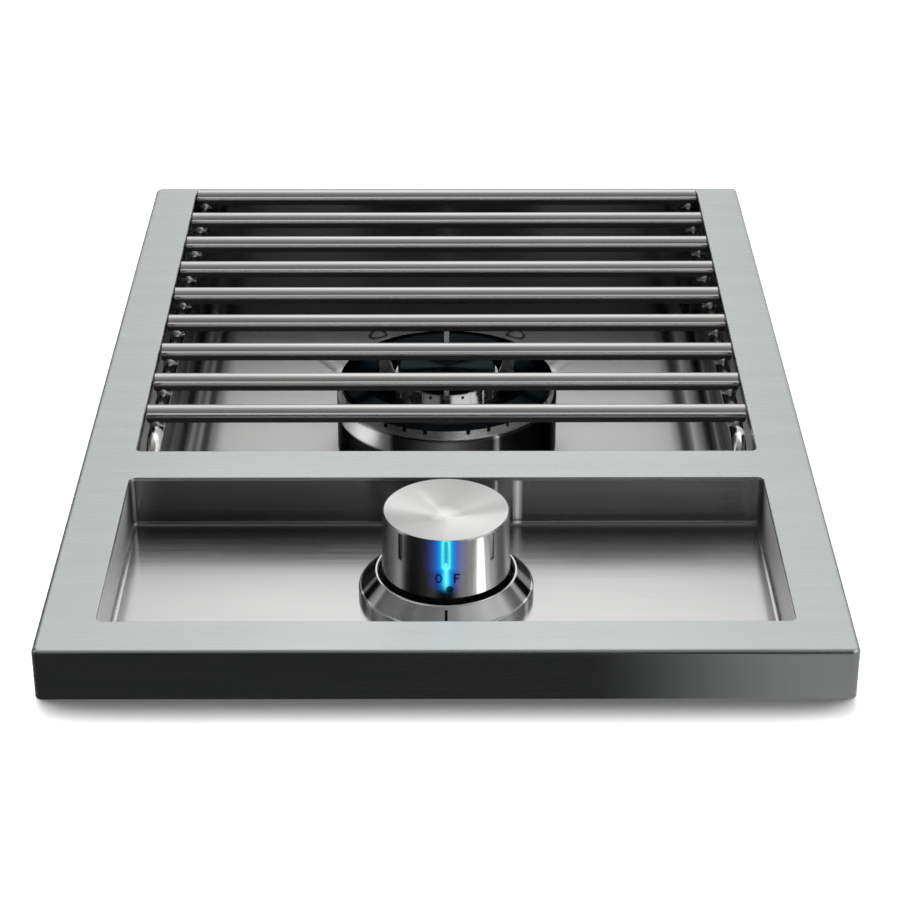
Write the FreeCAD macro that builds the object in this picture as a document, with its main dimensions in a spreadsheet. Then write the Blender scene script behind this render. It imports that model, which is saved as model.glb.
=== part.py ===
import FreeCAD, Part
import Sketcher
import math
import os
import re

from FreeCAD import Placement, Rotation, Vector

# Built-in side burner for an outdoor kitchen island.
# Millimetres. +X is to the user's right, +Y to the back, +Z up.
# The origin is on the bottom of the casing, under the middle of the trim frame.

# Driving sizes.
sizes = {
    # trim frame that lies on the counter
    "frameWidth": 305, "frameDepth": 447, "frameSheet": 1.5, "lipHeight": 21,
    "frameCorner": 3, "frameEdge": 2, "openingCorner": 2.5, "openingEdge": 0.6,
    "sideBand": 21.5, "frontBand": 21, "recessLength": 110.5, "crossBar": 23.5, "backBand": 6,
    # whole box, from the frame's top face down to the casing's bottom
    "boxDepth": 150,
    # pressed control recess and burner well
    "panSheet": 1, "recessDepth": 22.5, "recessCorner": 2.5, "recessFoot": 2,
    "wellDepth": 72, "wellBend": 16, "beadHeight": 1.2, "beadWidth": 10,
    "beadAngleA": 16.5, "beadNearA": 110, "beadFarA": 130,
    "beadAngleB": 34.5, "beadNearB": 96, "beadFarB": 122,
    "beadAngleC": 50, "beadNearC": 99, "beadFarC": 108,
    # casing
    "casingSideGap": 13.5, "casingSheet": 1, "casingFrontGap": 12, "casingBackGap": 3.5,
    "ventLength": 56, "ventHeight": 3, "ventPitch": 9, "ventTop": 96,
    "screwHead": 3.2, "screwShank": 1.6, "screwHeadHeight": 1.8, "screwLength": 6, "screwLow": 14,
    "screwPitch": 44, "tabInset": 7, "tabReach": 14, "tabHigh": 70,
    # grate of round rods
    "rodRadius": 4, "rodEndGap": 0.9, "rodProud": 3, "rodFrontGap": 36, "rodBackGap": 5.2,
    "rodChamfer": 0.5, "barRadius": 3.25, "barInset": 4.8, "barBend": 12, "barBackGap": 3.7,
    "legFrontGap": 15.5, "legDepth": 28, "restWidth": 16, "restLength": 24, "restThick": 1.5,
    # burner
    "baseRadius": 52.8, "baseTop": 44.5, "baseWall": 1.5, "neckRadius": 14, "neckBore": 11.5,
    "neckDepth": 86, "ringRadius": 51.5, "ringTopRadius": 51, "ringBore": 44, "ringTop": 39.7,
    "notchWidth": 1.8, "notchDepth": 2, "notchStep": 11.25,
    "capEdge": 36.4, "capInner": 34.3, "capInnerTop": 36.6, "capCrest": 2.2, "capThick": 3, "skirtGap": 0.3,
    "innerRadius": 24.6, "innerWall": 2, "innerTop": 34.5, "portRadius": 0.75, "portDepth": 36.2,
    "fluteWidth": 1.1, "fluteDepth": 0.7, "fluteLength": 8,
    "innerCapRadius": 23.3, "innerCapTop": 30.5, "innerCapDish": 0.8,
    "finThick": 2.4, "finOuter": 32.3, "finTop": 22, "finTopInner": 29, "finHeel": 35.5, "finFoot": 42,
    # mixing tube, jet and air shutter
    "tubeRadius": 11, "tubeWall": 1.2, "tubeDepth": 97, "collarRadius": 17, "collarTop": 77,
    "tubeFront": 28, "bellRadius": 14, "bellLength": 6, "shutterGap": 0.05, "shutterWall": 1.2,
    "shutterLength": 20, "shutterSetback": 9, "windowLength": 10, "windowWidth": 9, "tabHeight": 7,
    "jetRadius": 3, "jetHex": 5.5, "jetHexLength": 7, "jetLength": 16, "fitGap": 0.05,
    # igniter
    "electrodeGap": 5.2, "ceramicRadius": 3.5, "ceramicTop": 54, "ceramicFoot": 92,
    "pinRadius": 1.1, "pinTop": 43, "tabWidth": 16, "tabLength": 20, "tabThick": 1.2, "leadRadius": 1.8,
    "moduleWidth": 50, "moduleDepth": 36, "moduleHeight": 24, "moduleSideGap": 35,
    # knob and its bezel
    "knobSetback": 57.5, "knobRadius": 25, "knobSkirtRadius": 25.5, "knobTop": 15.2, "knobSkirt": 10,
    "knobWall": 2.2, "knobDish": 3.3, "dishCrown": 0.5, "dishLand": 0.8, "knobChamfer": 0.6,
    "hubRadius": 7, "hubEnd": 6,
    "slotWidth": 2.2, "slotHeight": 11.6, "slotTopGap": 0.9, "slotReach": 0.6, "lensGap": 0.1,
    "lensInset": 0.35,
    "bezelRadius": 34.8, "bezelEdge": 4.4, "bezelRound": 1, "bezelTop": 11.8, "bezelRim": 28,
    "bezelBore": 27,
    "tickWidth": 1.1, "tickDepth": 0.7, "tickInset": 1, "ringThick": 1.6, "stemRadius": 3, "stemTop": 8.5,
    "stemEnd": 53, "plugRadius": 6, "plugTop": 46, "plugFoot": 59, "plugBore": 57.5, "plugPlay": 0.1,
    "neckHole": 9, "valveNeck": 8, "valveNeckTop": 20.5, "springRadius": 5.2, "springBore": 3.5,
    # circuit board of the knob's light
    "boardLength": 20, "boardThick": 1.4,
    # gas valve, pipe and inlet
    "bracketWidth": 64, "bracketDepth": 44, "bracketThick": 1.5, "valveWidth": 30, "valveHeight": 37,
    "valveLeg": 14, "valveLegEnd": 104, "nutHex": 9, "nutLength": 12, "pipeRadius": 4, "pipeBend": 16,
    "pipePort": 46, "pipeDrop": 108, "pipeTurn": 62, "inletHex": 11.5, "inletHexLength": 4,
    "inletThread": 7.9, "inletBore": 3.5, "inletReach": 8.5, "inletTail": 12,
    "locknutHex": 11, "locknutThick": 4,
    # power socket for the knob's light
    "socketWidth": 16, "socketHeight": 12, "socketDepth": 18, "socketFlange": 2,
    "socketDrop": 66, "socketSetback": 42, "wireRadius": 1.5,
}
rodCount = 9

# Places worked out from the sizes above.
places = {
    "topZ": "boxDepth",
    "sheetZ": "boxDepth - frameSheet",
    "flangeZ": "boxDepth - frameSheet - panSheet",
    "frontY": "-frameDepth / 2",
    "backY": "frameDepth / 2",
    "openHalf": "frameWidth / 2 - sideBand",
    "recessFrontY": "frontY + frontBand",
    "recessBackY": "recessFrontY + recessLength",
    "wellFrontY": "recessBackY + crossBar",
    "wellBackY": "backY - backBand",
    "recessFloorZ": "topZ - recessDepth",
    "recessUnderZ": "recessFloorZ - panSheet",
    "wellFloorZ": "topZ - wellDepth",
    "casingHalf": "frameWidth / 2 - casingSideGap",
    "casingInner": "casingHalf - casingSheet",
    "casingFrontY": "frontY + casingFrontGap",
    "casingBackY": "backY - casingBackGap",
    "casingFrontIn": "casingFrontY + casingSheet",
    "casingBackIn": "casingBackY - casingSheet",
    "dividerY": "(recessBackY + wellFrontY - casingSheet) / 2",
    "burnerY": "(wellFrontY + wellBackY) / 2",
    "knobY": "recessFrontY + knobSetback",
    "rodZ": "topZ + rodProud - rodRadius",
    "barX": "openHalf - barInset",
    "barZ": "rodZ - rodRadius - barRadius",
    "rodHalf": "openHalf - rodEndGap",
    "rodBackY": "wellBackY - rodBackGap",
    "rodPitch": f"(wellBackY - rodBackGap - wellFrontY - rodFrontGap) / {rodCount - 1}",
    "legY": "wellFrontY + legFrontGap",
    "legEndZ": "topZ - legDepth",
    "barEndY": "wellBackY - barBackGap",
    "baseFloorZ": "wellFloorZ + baseWall",
    "baseTopZ": "topZ - baseTop",
    "ringTopZ": "topZ - ringTop",
    "tubeZ": "topZ - tubeDepth",
    "tubeFrontY": "knobY + tubeFront",
    "electrodeY": "burnerY + baseRadius + electrodeGap",
    "moduleX": "casingInner - moduleSideGap - moduleWidth / 2",
    "valveTopZ": "recessUnderZ - bracketThick",
    "valveEndZ": "valveTopZ - valveHeight",
    "knobTopZ": "topZ + knobTop",
    "skirtZ": "topZ - knobSkirt",
    "hubEndZ": "topZ - hubEnd",
    "neckTopZ": "topZ - valveNeckTop",
    "slotTopZ": "knobTopZ - slotTopGap",
    "pipePortZ": "topZ - pipePort",
    "pipeDropZ": "topZ - pipeDrop",
    "socketZ": "topZ - socketDrop",
    "socketY": "recessFrontY + socketSetback",
}

doc = FreeCAD.newDocument("side_burner")
sheet = doc.addObject("Spreadsheet::Sheet", "Sizes")
for row, (alias, number) in enumerate(sizes.items(), start=1):
    sheet.set(f"A{row}", alias)
    sheet.set(f"B{row}", str(number))
    sheet.setAlias(f"B{row}", alias)
doc.recompute()

parts = []


def bound(text):
    """Return an expression on the sheet's cells for a size written in plain names."""
    def swap(match):
        word = match.group()
        if word in places:
            return "(" + bound(places[word]) + ")"
        if word in sizes:
            return "Sizes." + word
        return word
    return re.sub(r"[A-Za-z_]\w*", swap, str(text))


def value(text):
    """Return the number that a size in plain names stands for."""
    return float(sheet.evalExpression(bound(text)))


def bind(thing, field, text):
    thing.setExpression(field, bound(text))


def place(thing, x="0", y="0", z="0"):
    """Put an object at a point, and keep it there when a size changes."""
    bind(thing, "Placement.Base.x", x)
    bind(thing, "Placement.Base.y", y)
    bind(thing, "Placement.Base.z", z)


def keep(thing, name):
    """Name a finished sub-part and list it for writing."""
    thing.Label = name
    parts.append(thing)
    doc.recompute()
    return thing


def edges_where(shape, test):
    """Name the edges of a shape whose two ends both pass a test."""
    return [f"Edge{number}" for number, edge in enumerate(shape.Edges, start=1)
            if len(edge.Vertexes) == 2 and test(*[vertex.Point for vertex in edge.Vertexes])]


def is_upright(a, b):
    return abs(a.x - b.x) < 1e-4 and abs(a.y - b.y) < 1e-4


def at_height(z):
    return lambda a, b: abs(a.z - z) < 1e-4 and abs(b.z - z) < 1e-4


# Sketches and features


def new_body(name):
    body = doc.addObject("PartDesign::Body", name + "_body")
    return body


def add_sketch(body, role, offset="0", turn=0):
    """Start a sketch on one of the body's own planes, moved along the plane's normal."""
    plane = next(feature for feature in body.Origin.OriginFeatures if feature.Role == role)
    sketch = body.newObject("Sketcher::SketchObject", body.Name + "_sketch")
    sketch.AttachmentSupport = [(plane, "")]
    sketch.MapMode = "FlatFace"
    sketch.AttachmentOffset = Placement(Vector(0, 0, 0), Rotation(Vector(0, 0, 1), turn))
    bind(sketch, "AttachmentOffset.Base.z", offset)
    return sketch


def pin_point(sketch, geometry, end, x, y):
    """Hold one point of a sketch at worked-out distances from the sketch's origin."""
    for kind, text in (("DistanceX", x), ("DistanceY", y)):
        number = sketch.addConstraint(Sketcher.Constraint(kind, -1, 1, geometry, end, value(text)))
        bind(sketch, f"Constraints[{number}]", text)


def draw_loop(sketch, corners, close=True):
    """Draw a loop through corners; a corner with five entries is reached by an arc."""
    spots = [Vector(value(corner[0]), value(corner[1]), 0) for corner in corners]
    count = len(corners)
    ends = []
    steps = range(count) if close else range(count - 1)
    for step in steps:
        following = (step + 1) % count
        corner = corners[following]
        if len(corner) == 5:
            middle = Vector(value(corner[2]), value(corner[3]), 0)
            piece = Part.Arc(spots[step], middle, spots[following])
        else:
            piece = Part.LineSegment(spots[step], spots[following])
        number = sketch.addGeometry(piece, False)
        first = 1 if (sketch.getPoint(number, 1) - spots[step]).Length < 1e-6 else 2
        ends.append((number, first, 3 - first))
        if len(corner) == 5:
            radius = sketch.addConstraint(Sketcher.Constraint("Radius", number, value(corner[4])))
            bind(sketch, f"Constraints[{radius}]", corner[4])
    for step, (number, first, last) in enumerate(ends):
        pin_point(sketch, number, first, corners[step][0], corners[step][1])
        if close or step + 1 < len(ends):
            after = ends[(step + 1) % len(ends)]
            sketch.addConstraint(Sketcher.Constraint("Coincident", number, last, after[0], after[1]))
        else:
            pin_point(sketch, number, last, corners[step + 1][0], corners[step + 1][1])


def draw_rectangle(sketch, x0, y0, x1, y1):
    draw_loop(sketch, [(x0, y0), (x1, y0), (x1, y1), (x0, y1)])


def draw_circle(sketch, x, y, radius):
    circle = Part.Circle(Vector(value(x), value(y), 0), Vector(0, 0, 1), value(radius))
    number = sketch.addGeometry(circle, False)
    pin_point(sketch, number, 3, x, y)
    hold = sketch.addConstraint(Sketcher.Constraint("Radius", number, value(radius)))
    bind(sketch, f"Constraints[{hold}]", radius)


def add_pad(body, sketch, length, both=False, back=False):
    pad = body.newObject("PartDesign::Pad", body.Name + "_pad")
    pad.Profile = sketch
    pad.Midplane = both
    pad.Reversed = back
    bind(pad, "Length", length)
    sketch.Visibility = False
    doc.recompute()
    return pad


def add_pocket(body, sketch, length, both=False, back=False):
    """Cut a sketch out of a body, and stop if the cut took nothing away."""
    before = body.Shape.Volume
    pocket = body.newObject("PartDesign::Pocket", body.Name + "_pocket")
    pocket.Profile = sketch
    pocket.Midplane = both
    pocket.Reversed = back
    bind(pocket, "Length", length)
    doc.recompute()
    if not body.Shape.Volume < before - 1e-6:
        raise ValueError(f"a pocket in {body.Name} cuts nothing")
    return pocket


def add_turn(body, sketch):
    turn = body.newObject("PartDesign::Revolution", body.Name + "_turn")
    turn.Profile = sketch
    turn.ReferenceAxis = (sketch, ["V_Axis"])
    turn.Angle = 360
    doc.recompute()
    return turn


def add_fillet(body, radius, test):
    fillet = body.newObject("PartDesign::Fillet", body.Name + "_fillet")
    base = fillet.BaseFeature if fillet.BaseFeature else body.Tip
    fillet.Base = (base, edges_where(base.Shape, test))
    bind(fillet, "Radius", radius)
    body.Tip = fillet
    doc.recompute()
    if "Invalid" in fillet.State:
        raise ValueError(f"a fillet in {body.Name} fails")
    return fillet


def add_ring(body, feature, sketch, count):
    """Repeat a feature evenly round the body's own Z axis."""
    ring = body.newObject("PartDesign::PolarPattern", body.Name + "_ring")
    ring.Originals = [feature]
    ring.Axis = (sketch, ["N_Axis"])
    ring.Angle = 360
    ring.Occurrences = count
    body.Tip = ring
    doc.recompute()
    return ring


def turned(name, loops, x="0", y="0", z="0", keep_it=True):
    """Turn one or more (radius, height) loops about an upright axis."""
    body = new_body(name)
    for loop in loops:
        sketch = add_sketch(body, "XZ_Plane")
        draw_loop(sketch, loop)
        add_turn(body, sketch)
    place(body, x, y, z)
    if keep_it:
        keep(body, name)
    return body


def box(name, x0, x1, y0, y1, z0, z1):
    """A plain block between two corners, given in plain names."""
    block = doc.addObject("Part::Box", name)
    bind(block, "Length", f"({x1}) - ({x0})")
    bind(block, "Width", f"({y1}) - ({y0})")
    bind(block, "Height", f"({z1}) - ({z0})")
    place(block, x0, y0, z0)
    return block


def rod(name, radius, length, x, y, z, axis="z"):
    """A round bar that starts at a point and runs along +X, +Y or +Z."""
    bar = doc.addObject("Part::Cylinder", name)
    bind(bar, "Radius", radius)
    bind(bar, "Height", length)
    turns = {"x": Rotation(Vector(0, 1, 0), 90), "y": Rotation(Vector(1, 0, 0), -90), "z": Rotation()}
    bar.Placement = Placement(Vector(0, 0, 0), turns[axis])
    place(bar, x, y, z)
    return bar


def ball(name, radius, x, y, z):
    sphere = doc.addObject("Part::Sphere", name)
    bind(sphere, "Radius", radius)
    place(sphere, x, y, z)
    return sphere


def hexagon(name, radius, length, x, y, z, axis="z"):
    """A six-sided bar, its radius measured to the corners."""
    bar = doc.addObject("Part::Prism", name)
    bar.Polygon = 6
    bind(bar, "Circumradius", radius)
    bind(bar, "Height", length)
    turns = {"x": Rotation(Vector(0, 1, 0), 90), "y": Rotation(Vector(1, 0, 0), -90), "z": Rotation()}
    bar.Placement = Placement(Vector(0, 0, 0), turns[axis])
    place(bar, x, y, z)
    return bar


def joined(name, pieces):
    whole = doc.addObject("Part::MultiFuse", name)
    whole.Shapes = pieces
    return whole


def without(name, base, tool):
    rest = doc.addObject("Part::Cut", name)
    rest.Base = base
    rest.Tool = tool
    return rest


def group(name, pieces):
    """Several separate solids under one name."""
    whole = doc.addObject("Part::Compound", name)
    whole.Links = pieces
    return keep(whole, name)


def tube_along(name, route, radius, bend):
    """A round lead on straight runs joined by tangent arcs, with its volume checked."""
    points = [Vector(*[value(text) for text in spot]) for spot in route]
    edges = []
    length = 0
    start = points[0]
    for before, corner, after in zip(points, points[1:], points[2:]):
        inward = (before - corner).normalize()
        outward = (after - corner).normalize()
        half = inward.getAngle(outward) / 2
        reach = bend / math.tan(half)
        first = corner + inward * reach
        last = corner + outward * reach
        centre_way = (inward + outward).normalize()
        middle = corner + centre_way * (bend / math.sin(half) - bend)
        edges.append(Part.LineSegment(start, first).toShape())
        edges.append(Part.Arc(first, middle, last).toShape())
        length += (first - start).Length + bend * (math.pi - 2 * half)
        start = last
    edges.append(Part.LineSegment(start, points[-1]).toShape())
    length += (points[-1] - start).Length
    way = (points[1] - points[0]).normalize()
    profile = Part.Wire(Part.makeCircle(radius, points[0], way))
    solid = Part.Wire(edges).makePipeShell([profile], True, False)
    wanted = math.pi * radius ** 2 * length
    if abs(solid.Volume - wanted) > 0.01 * wanted:
        raise ValueError(f"{name} has the wrong volume")
    print(name, "length", round(length, 1), "mm, bends", bend, "mm")
    lead = doc.addObject("Part::Feature", name)
    lead.Shape = solid
    return keep(lead, name)


# Trim frame and pans


def make_top_frame():
    """Sheet frame with a turned-down lip, one opening over the well and one over the recess."""
    body = new_body("top_frame")
    outline = add_sketch(body, "XY_Plane", "topZ - lipHeight")
    draw_rectangle(outline, "-frameWidth / 2", "frontY", "frameWidth / 2", "backY")
    add_pad(body, outline, "lipHeight")
    add_fillet(body, "frameCorner", is_upright)
    add_fillet(body, "frameEdge", at_height(value("topZ")))
    inside = add_sketch(body, "XY_Plane", "topZ - lipHeight")
    draw_rectangle(inside, "frameSheet - frameWidth / 2", "frontY + frameSheet",
                   "frameWidth / 2 - frameSheet", "backY - frameSheet")
    add_pocket(body, inside, "lipHeight - frameSheet", back=True)
    openings = add_sketch(body, "XY_Plane", "topZ")
    draw_rectangle(openings, "-openHalf", "recessFrontY", "openHalf", "recessBackY")
    draw_rectangle(openings, "-openHalf", "wellFrontY", "openHalf", "wellBackY")
    add_pocket(body, openings, "frameSheet")
    limit = value("openHalf") + 0.01
    front = value("recessFrontY") - 0.01
    back = value("wellBackY") + 0.01

    def on_opening(a, b):
        return all(abs(p.x) < limit and front < p.y < back for p in (a, b))

    def on_rim(a, b):
        return on_opening(a, b) and at_height(value("topZ"))(a, b)

    def on_corner(a, b):
        return on_opening(a, b) and is_upright(a, b)
    add_fillet(body, "openingCorner", on_corner)
    add_fillet(body, "openingEdge", on_rim)
    keep(body, "top_frame")


def pan_block(name, half, y0, y1, z0, z1, corner, foot):
    """A block with rounded upright edges and a rounded bottom edge."""
    body = new_body(name)
    outline = add_sketch(body, "XY_Plane", z0)
    draw_rectangle(outline, f"-({half})", y0, half, y1)
    add_pad(body, outline, f"({z1}) - ({z0})")
    add_fillet(body, corner, is_upright)
    add_fillet(body, foot, at_height(value(z0)))
    return body


def make_control_recess():
    """Shallow pressed tray that holds the knob, flanged under the frame."""
    flange = box("recess_flange", "-casingInner", "casingInner", "casingFrontIn", "dividerY",
                 "flangeZ", "sheetZ")
    outer = pan_block("recess_outer", "openHalf + panSheet", "recessFrontY - panSheet",
                      "recessBackY + panSheet", "recessUnderZ", "flangeZ",
                      "recessCorner + panSheet", "recessFoot + panSheet")
    inner = pan_block("recess_inner", "openHalf", "recessFrontY", "recessBackY",
                      "recessFloorZ", "sheetZ + 1", "recessCorner", "recessFoot")
    stem_hole = rod("recess_stem_hole", "neckHole", "panSheet + 2", "0", "knobY", "recessUnderZ - 1")
    hollow = joined("recess_hollow", [inner, stem_hole])
    keep(without("recess_cut", joined("recess_solid", [flange, outer]), hollow), "control_recess")


def well_bend(side, grown, downwards):
    """One rounded corner of the well's section, grown outwards by a thickness, as two corners of a loop."""
    half = f"{side} * (openHalf + {grown})"
    floor = f"wellFloorZ - {grown}"
    bend = f"(wellBend + {grown})"
    cut = f"{bend} * (1 - sqrt(0.5))"
    arc = (f"{half} - {side} * {cut}", f"{floor} + {cut}", bend)
    wall_end = (half, f"{floor} + {bend}")
    floor_end = (f"{half} - {side} * {bend}", floor)
    if downwards:
        return [wall_end, (*floor_end, *arc)]
    return [floor_end, (*wall_end, *arc)]


def make_burner_well():
    """Bent sheet channel with raised beads, closed by a wall at each end."""
    half_out = "(openHalf + panSheet)"
    body = new_body("burner_well")
    section = add_sketch(body, "XZ_Plane", "-wellBackY - panSheet")
    draw_loop(section, [
        ("-casingInner", "sheetZ"), ("-casingInner", "flangeZ"), (f"-{half_out}", "flangeZ"),
        *well_bend(-1, "panSheet", True), *well_bend(1, "panSheet", False),
        (half_out, "flangeZ"), ("casingInner", "flangeZ"), ("casingInner", "sheetZ"), ("openHalf", "sheetZ"),
        *well_bend(1, "0", True), *well_bend(-1, "0", False), ("-openHalf", "sheetZ")])
    add_pad(body, section, "wellBackY - wellFrontY + 2 * panSheet")
    holes = add_sketch(body, "XY_Plane", "wellFloorZ")
    draw_circle(holes, "0", "burnerY", "neckRadius + 1")
    draw_circle(holes, "0", "electrodeY", "ceramicRadius + 0.3")
    add_pocket(body, holes, "panSheet * 3")
    keep(joined("burner_well_solid", [body, make_beads()]), "burner_well")

    for name, y in (("well_front_wall", "wellFrontY - panSheet"), ("well_back_wall", "wellBackY")):
        wall = new_body(name)
        outline = add_sketch(wall, "XZ_Plane", f"-({y}) - panSheet")
        draw_loop(outline, [("-openHalf", "sheetZ"), *well_bend(-1, "0", True), *well_bend(1, "0", False),
                            ("openHalf", "sheetZ")])
        add_pad(wall, outline, "panSheet")
        keep(wall, name)


def make_beads():
    """Raised ribs on the well's floor that point away from the burner, each a sunk round bar."""
    sink = "((beadWidth ^ 2 / 4 - beadHeight ^ 2) / (2 * beadHeight))"
    radius = f"({sink} + beadHeight)"
    runs = []
    for angle, near, far in (("beadAngleA", "beadNearA", "beadFarA"), ("beadAngleB", "beadNearB", "beadFarB"),
                             ("beadAngleC", "beadNearC", "beadFarC")):
        for side in (-1, 1):
            for turn in (0, 180):
                bar = joined("bead_bar", [
                    rod("bead_run", radius, f"{far} - {near}", "0", near, "0", "y"),
                    ball("bead_near", radius, "0", near, "0"), ball("bead_far", radius, "0", far, "0")])
                bar.Placement = Placement(Vector(0, 0, 0), Rotation(Vector(0, 0, 1), 0))
                bind(bar, "Placement.Rotation.Angle", f"{side} * {angle} + {turn}")
                place(bar, "0", "burnerY", f"wellFloorZ - {sink}")
                runs.append(bar)
    slab = box("bead_slab", "-openHalf", "openHalf", "wellFrontY", "wellBackY", "wellFloorZ - panSheet / 2",
               "wellFloorZ + 3 * beadHeight")
    beads = doc.addObject("Part::Common", "beads")
    beads.Base = joined("bead_bars", runs)
    beads.Tool = slab
    return beads


# Casing


def screw_spots():
    """Where the casing's screws go: two at each corner of the box."""
    return [(f"{side} * (casingInner - tabInset)", y, f"screwLow + {row} * screwPitch")
            for side in (-1, 1) for y in ("casingFrontY", "casingBackY") for row in (0, 1)]


def make_casing():
    """Five flat panels and a dividing wall; the side panels have vents and bent tabs for the screws."""
    holes = joined("screw_holes", [
        rod("screw_hole", "screwShank + fitGap", "4 * casingSheet + 4", x, f"{y} - 2 * casingSheet - 2", z,
            "y")
        for x, y, z in screw_spots()])
    for name, y0, y1 in (("casing_front", "casingFrontY", "casingFrontIn"),
                         ("casing_back", "casingBackIn", "casingBackY")):
        panel = box(name + "_plate", "-casingHalf", "casingHalf", y0, y1, "0", "sheetZ")
        keep(without(name + "_cut", panel, holes), name)
    keep(box("bottom_panel", "-casingInner", "casingInner", "casingFrontIn", "casingBackIn", "0",
             "casingSheet"), "casing_bottom")
    for name, side in (("casing_left", -1), ("casing_right", 1)):
        x0 = f"{side} * (casingInner + casingSheet / 2) - casingSheet / 2"
        x1 = f"{side} * (casingInner + casingSheet / 2) + casingSheet / 2"
        tab_x0 = f"{side} * (casingInner - tabReach / 2) - tabReach / 2"
        tab_x1 = f"{side} * (casingInner - tabReach / 2) + tabReach / 2"
        panel = joined(name + "_plate", [
            box(name + "_sheet", x0, x1, "casingFrontIn", "casingBackIn", "0", "sheetZ"),
            box(name + "_front_tab", tab_x0, tab_x1, "casingFrontIn", "casingFrontIn + casingSheet",
                "casingSheet", "tabHigh"),
            box(name + "_back_tab", tab_x0, tab_x1, "casingBackIn - casingSheet", "casingBackIn",
                "casingSheet", "tabHigh")])
        cuts = [holes]
        for column, y in enumerate(("burnerY - ventLength * 1.2", "burnerY + ventLength * 0.2")):
            for row in range(5):
                z = f"topZ - ventTop - {row} * ventPitch"
                cuts.append(box(f"{name}_vent_{column}_{row}", f"{x0} - 1", f"{x1} + 1", y,
                                f"{y} + ventLength", f"{z} - ventHeight", z))
        if side == 1:
            cuts.append(rod("inlet_hole", "inletThread + fitGap", "casingSheet + 2", "casingInner - 1",
                            "knobY", "pipeDropZ", "x"))
            cuts.append(box("socket_hole", f"{x0} - 1", f"{x1} + 1", "socketY - socketWidth / 2 - 0.1",
                            "socketY + socketWidth / 2 + 0.1", "socketZ - socketHeight / 2 - 0.1",
                            "socketZ + socketHeight / 2 + 0.1"))
        keep(without(name + "_cut", panel, joined(name + "_holes", cuts)), name)
    wall = box("divider_plate", "-casingInner", "casingInner", "dividerY", "dividerY + casingSheet",
               "casingSheet", "sheetZ")
    passes = [
        rod("divider_tube_hole", "tubeRadius + 0.6", "casingSheet + 2", "0", "dividerY - 1", "tubeZ", "y"),
        rod("divider_lead_hole", "leadRadius + 0.4", "casingSheet + 2", "-moduleX", "dividerY - 1", "tubeZ",
            "y")]
    keep(without("divider_cut", wall, joined("divider_holes", passes)), "heat_divider")


def make_casing_screws():
    """Pan-head screws through the front and back panels into the side panels' tabs."""
    pieces = []
    for x, y, z in screw_spots():
        way = 1 if y == "casingBackY" else -1
        screw = turned("screw", [[
            ("0", "-screwLength"), ("screwShank", "-screwLength"), ("screwShank", "0"), ("screwHead", "0"),
            ("screwHead", "screwHeadHeight * 0.5"), ("screwHead * 0.6", "screwHeadHeight"),
            ("0", "screwHeadHeight")]], keep_it=False)
        screw.Placement = Placement(Vector(0, 0, 0), Rotation(Vector(1, 0, 0), -90 * way))
        place(screw, x, y, z)
        pieces.append(screw)
    group("casing_screws", pieces)


# Grate


def make_grate():
    """Nine straight rods on two side bars; each bar turns down in front into a leg."""
    for number in range(rodCount):
        name = f"grate_rod_{number + 1}"
        body = turned(name, [[
            ("0", "-rodHalf"), ("rodRadius - rodChamfer", "-rodHalf"), ("rodRadius", "rodChamfer - rodHalf"),
            ("rodRadius", "rodHalf - rodChamfer"), ("rodRadius - rodChamfer", "rodHalf"), ("0", "rodHalf")]],
            keep_it=False)
        body.Placement = Placement(Vector(0, 0, 0), Rotation(Vector(0, 1, 0), 90))
        place(body, "0", f"rodBackY - {rodCount - 1 - number} * rodPitch", "rodZ")
        keep(body, name)
    for name, side in (("grate_bar_left", -1), ("grate_bar_right", 1)):
        body = new_body(name)
        path = add_sketch(body, "YZ_Plane")
        turn = "barBend * (1 - sqrt(0.5))"
        draw_loop(path, [
            ("legY", "legEndZ"), ("legY", "barZ - barBend"),
            ("legY + barBend", "barZ", f"legY + {turn}", f"barZ - {turn}", "barBend"),
            ("barEndY", "barZ")], close=False)
        section = add_sketch(body, "XY_Plane", "legEndZ")
        draw_circle(section, "0", "legY", "barRadius")
        doc.recompute()
        pipe = body.newObject("PartDesign::AdditivePipe", name + "_pipe")
        pipe.Profile = section
        pipe.Spine = (path, [])
        doc.recompute()
        place(body, f"{side} * barX")
        keep(body, name)


def make_grate_rests():
    """Four small ledges spot-welded in the well, one under each end of the side bars."""
    pieces = []
    for side in (-1, 1):
        low = f"{side} * (openHalf - restWidth / 2) - restWidth / 2"
        high = f"{side} * (openHalf - restWidth / 2) + restWidth / 2"
        pieces.append(box("front_rest", low, high, "wellFrontY", "wellFrontY + restLength",
                          "legEndZ - restThick", "legEndZ"))
        pieces.append(box("back_rest", low, high, "wellBackY - restLength / 2", "wellBackY",
                          "barZ - barRadius - restThick", "barZ - barRadius"))
    group("grate_rests", pieces)


# Burner


def make_burner_base():
    """Polished cup that stands on the well's floor, with a neck down into the mixing tube."""
    turned("burner_base", [[
        ("neckBore", "topZ - neckDepth"), ("neckRadius", "topZ - neckDepth"), ("neckRadius", "wellFloorZ"),
        ("baseRadius", "wellFloorZ"), ("baseRadius", "baseTopZ - 0.5"), ("baseRadius - 0.5", "baseTopZ"),
        ("ringBore + 2", "baseTopZ"), ("ringBore + 2", "baseTopZ - baseWall"),
        ("baseRadius - baseWall", "baseTopZ - baseWall"), ("baseRadius - baseWall", "baseFloorZ"),
        ("neckBore", "baseFloorZ")]], y="burnerY")


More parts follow.
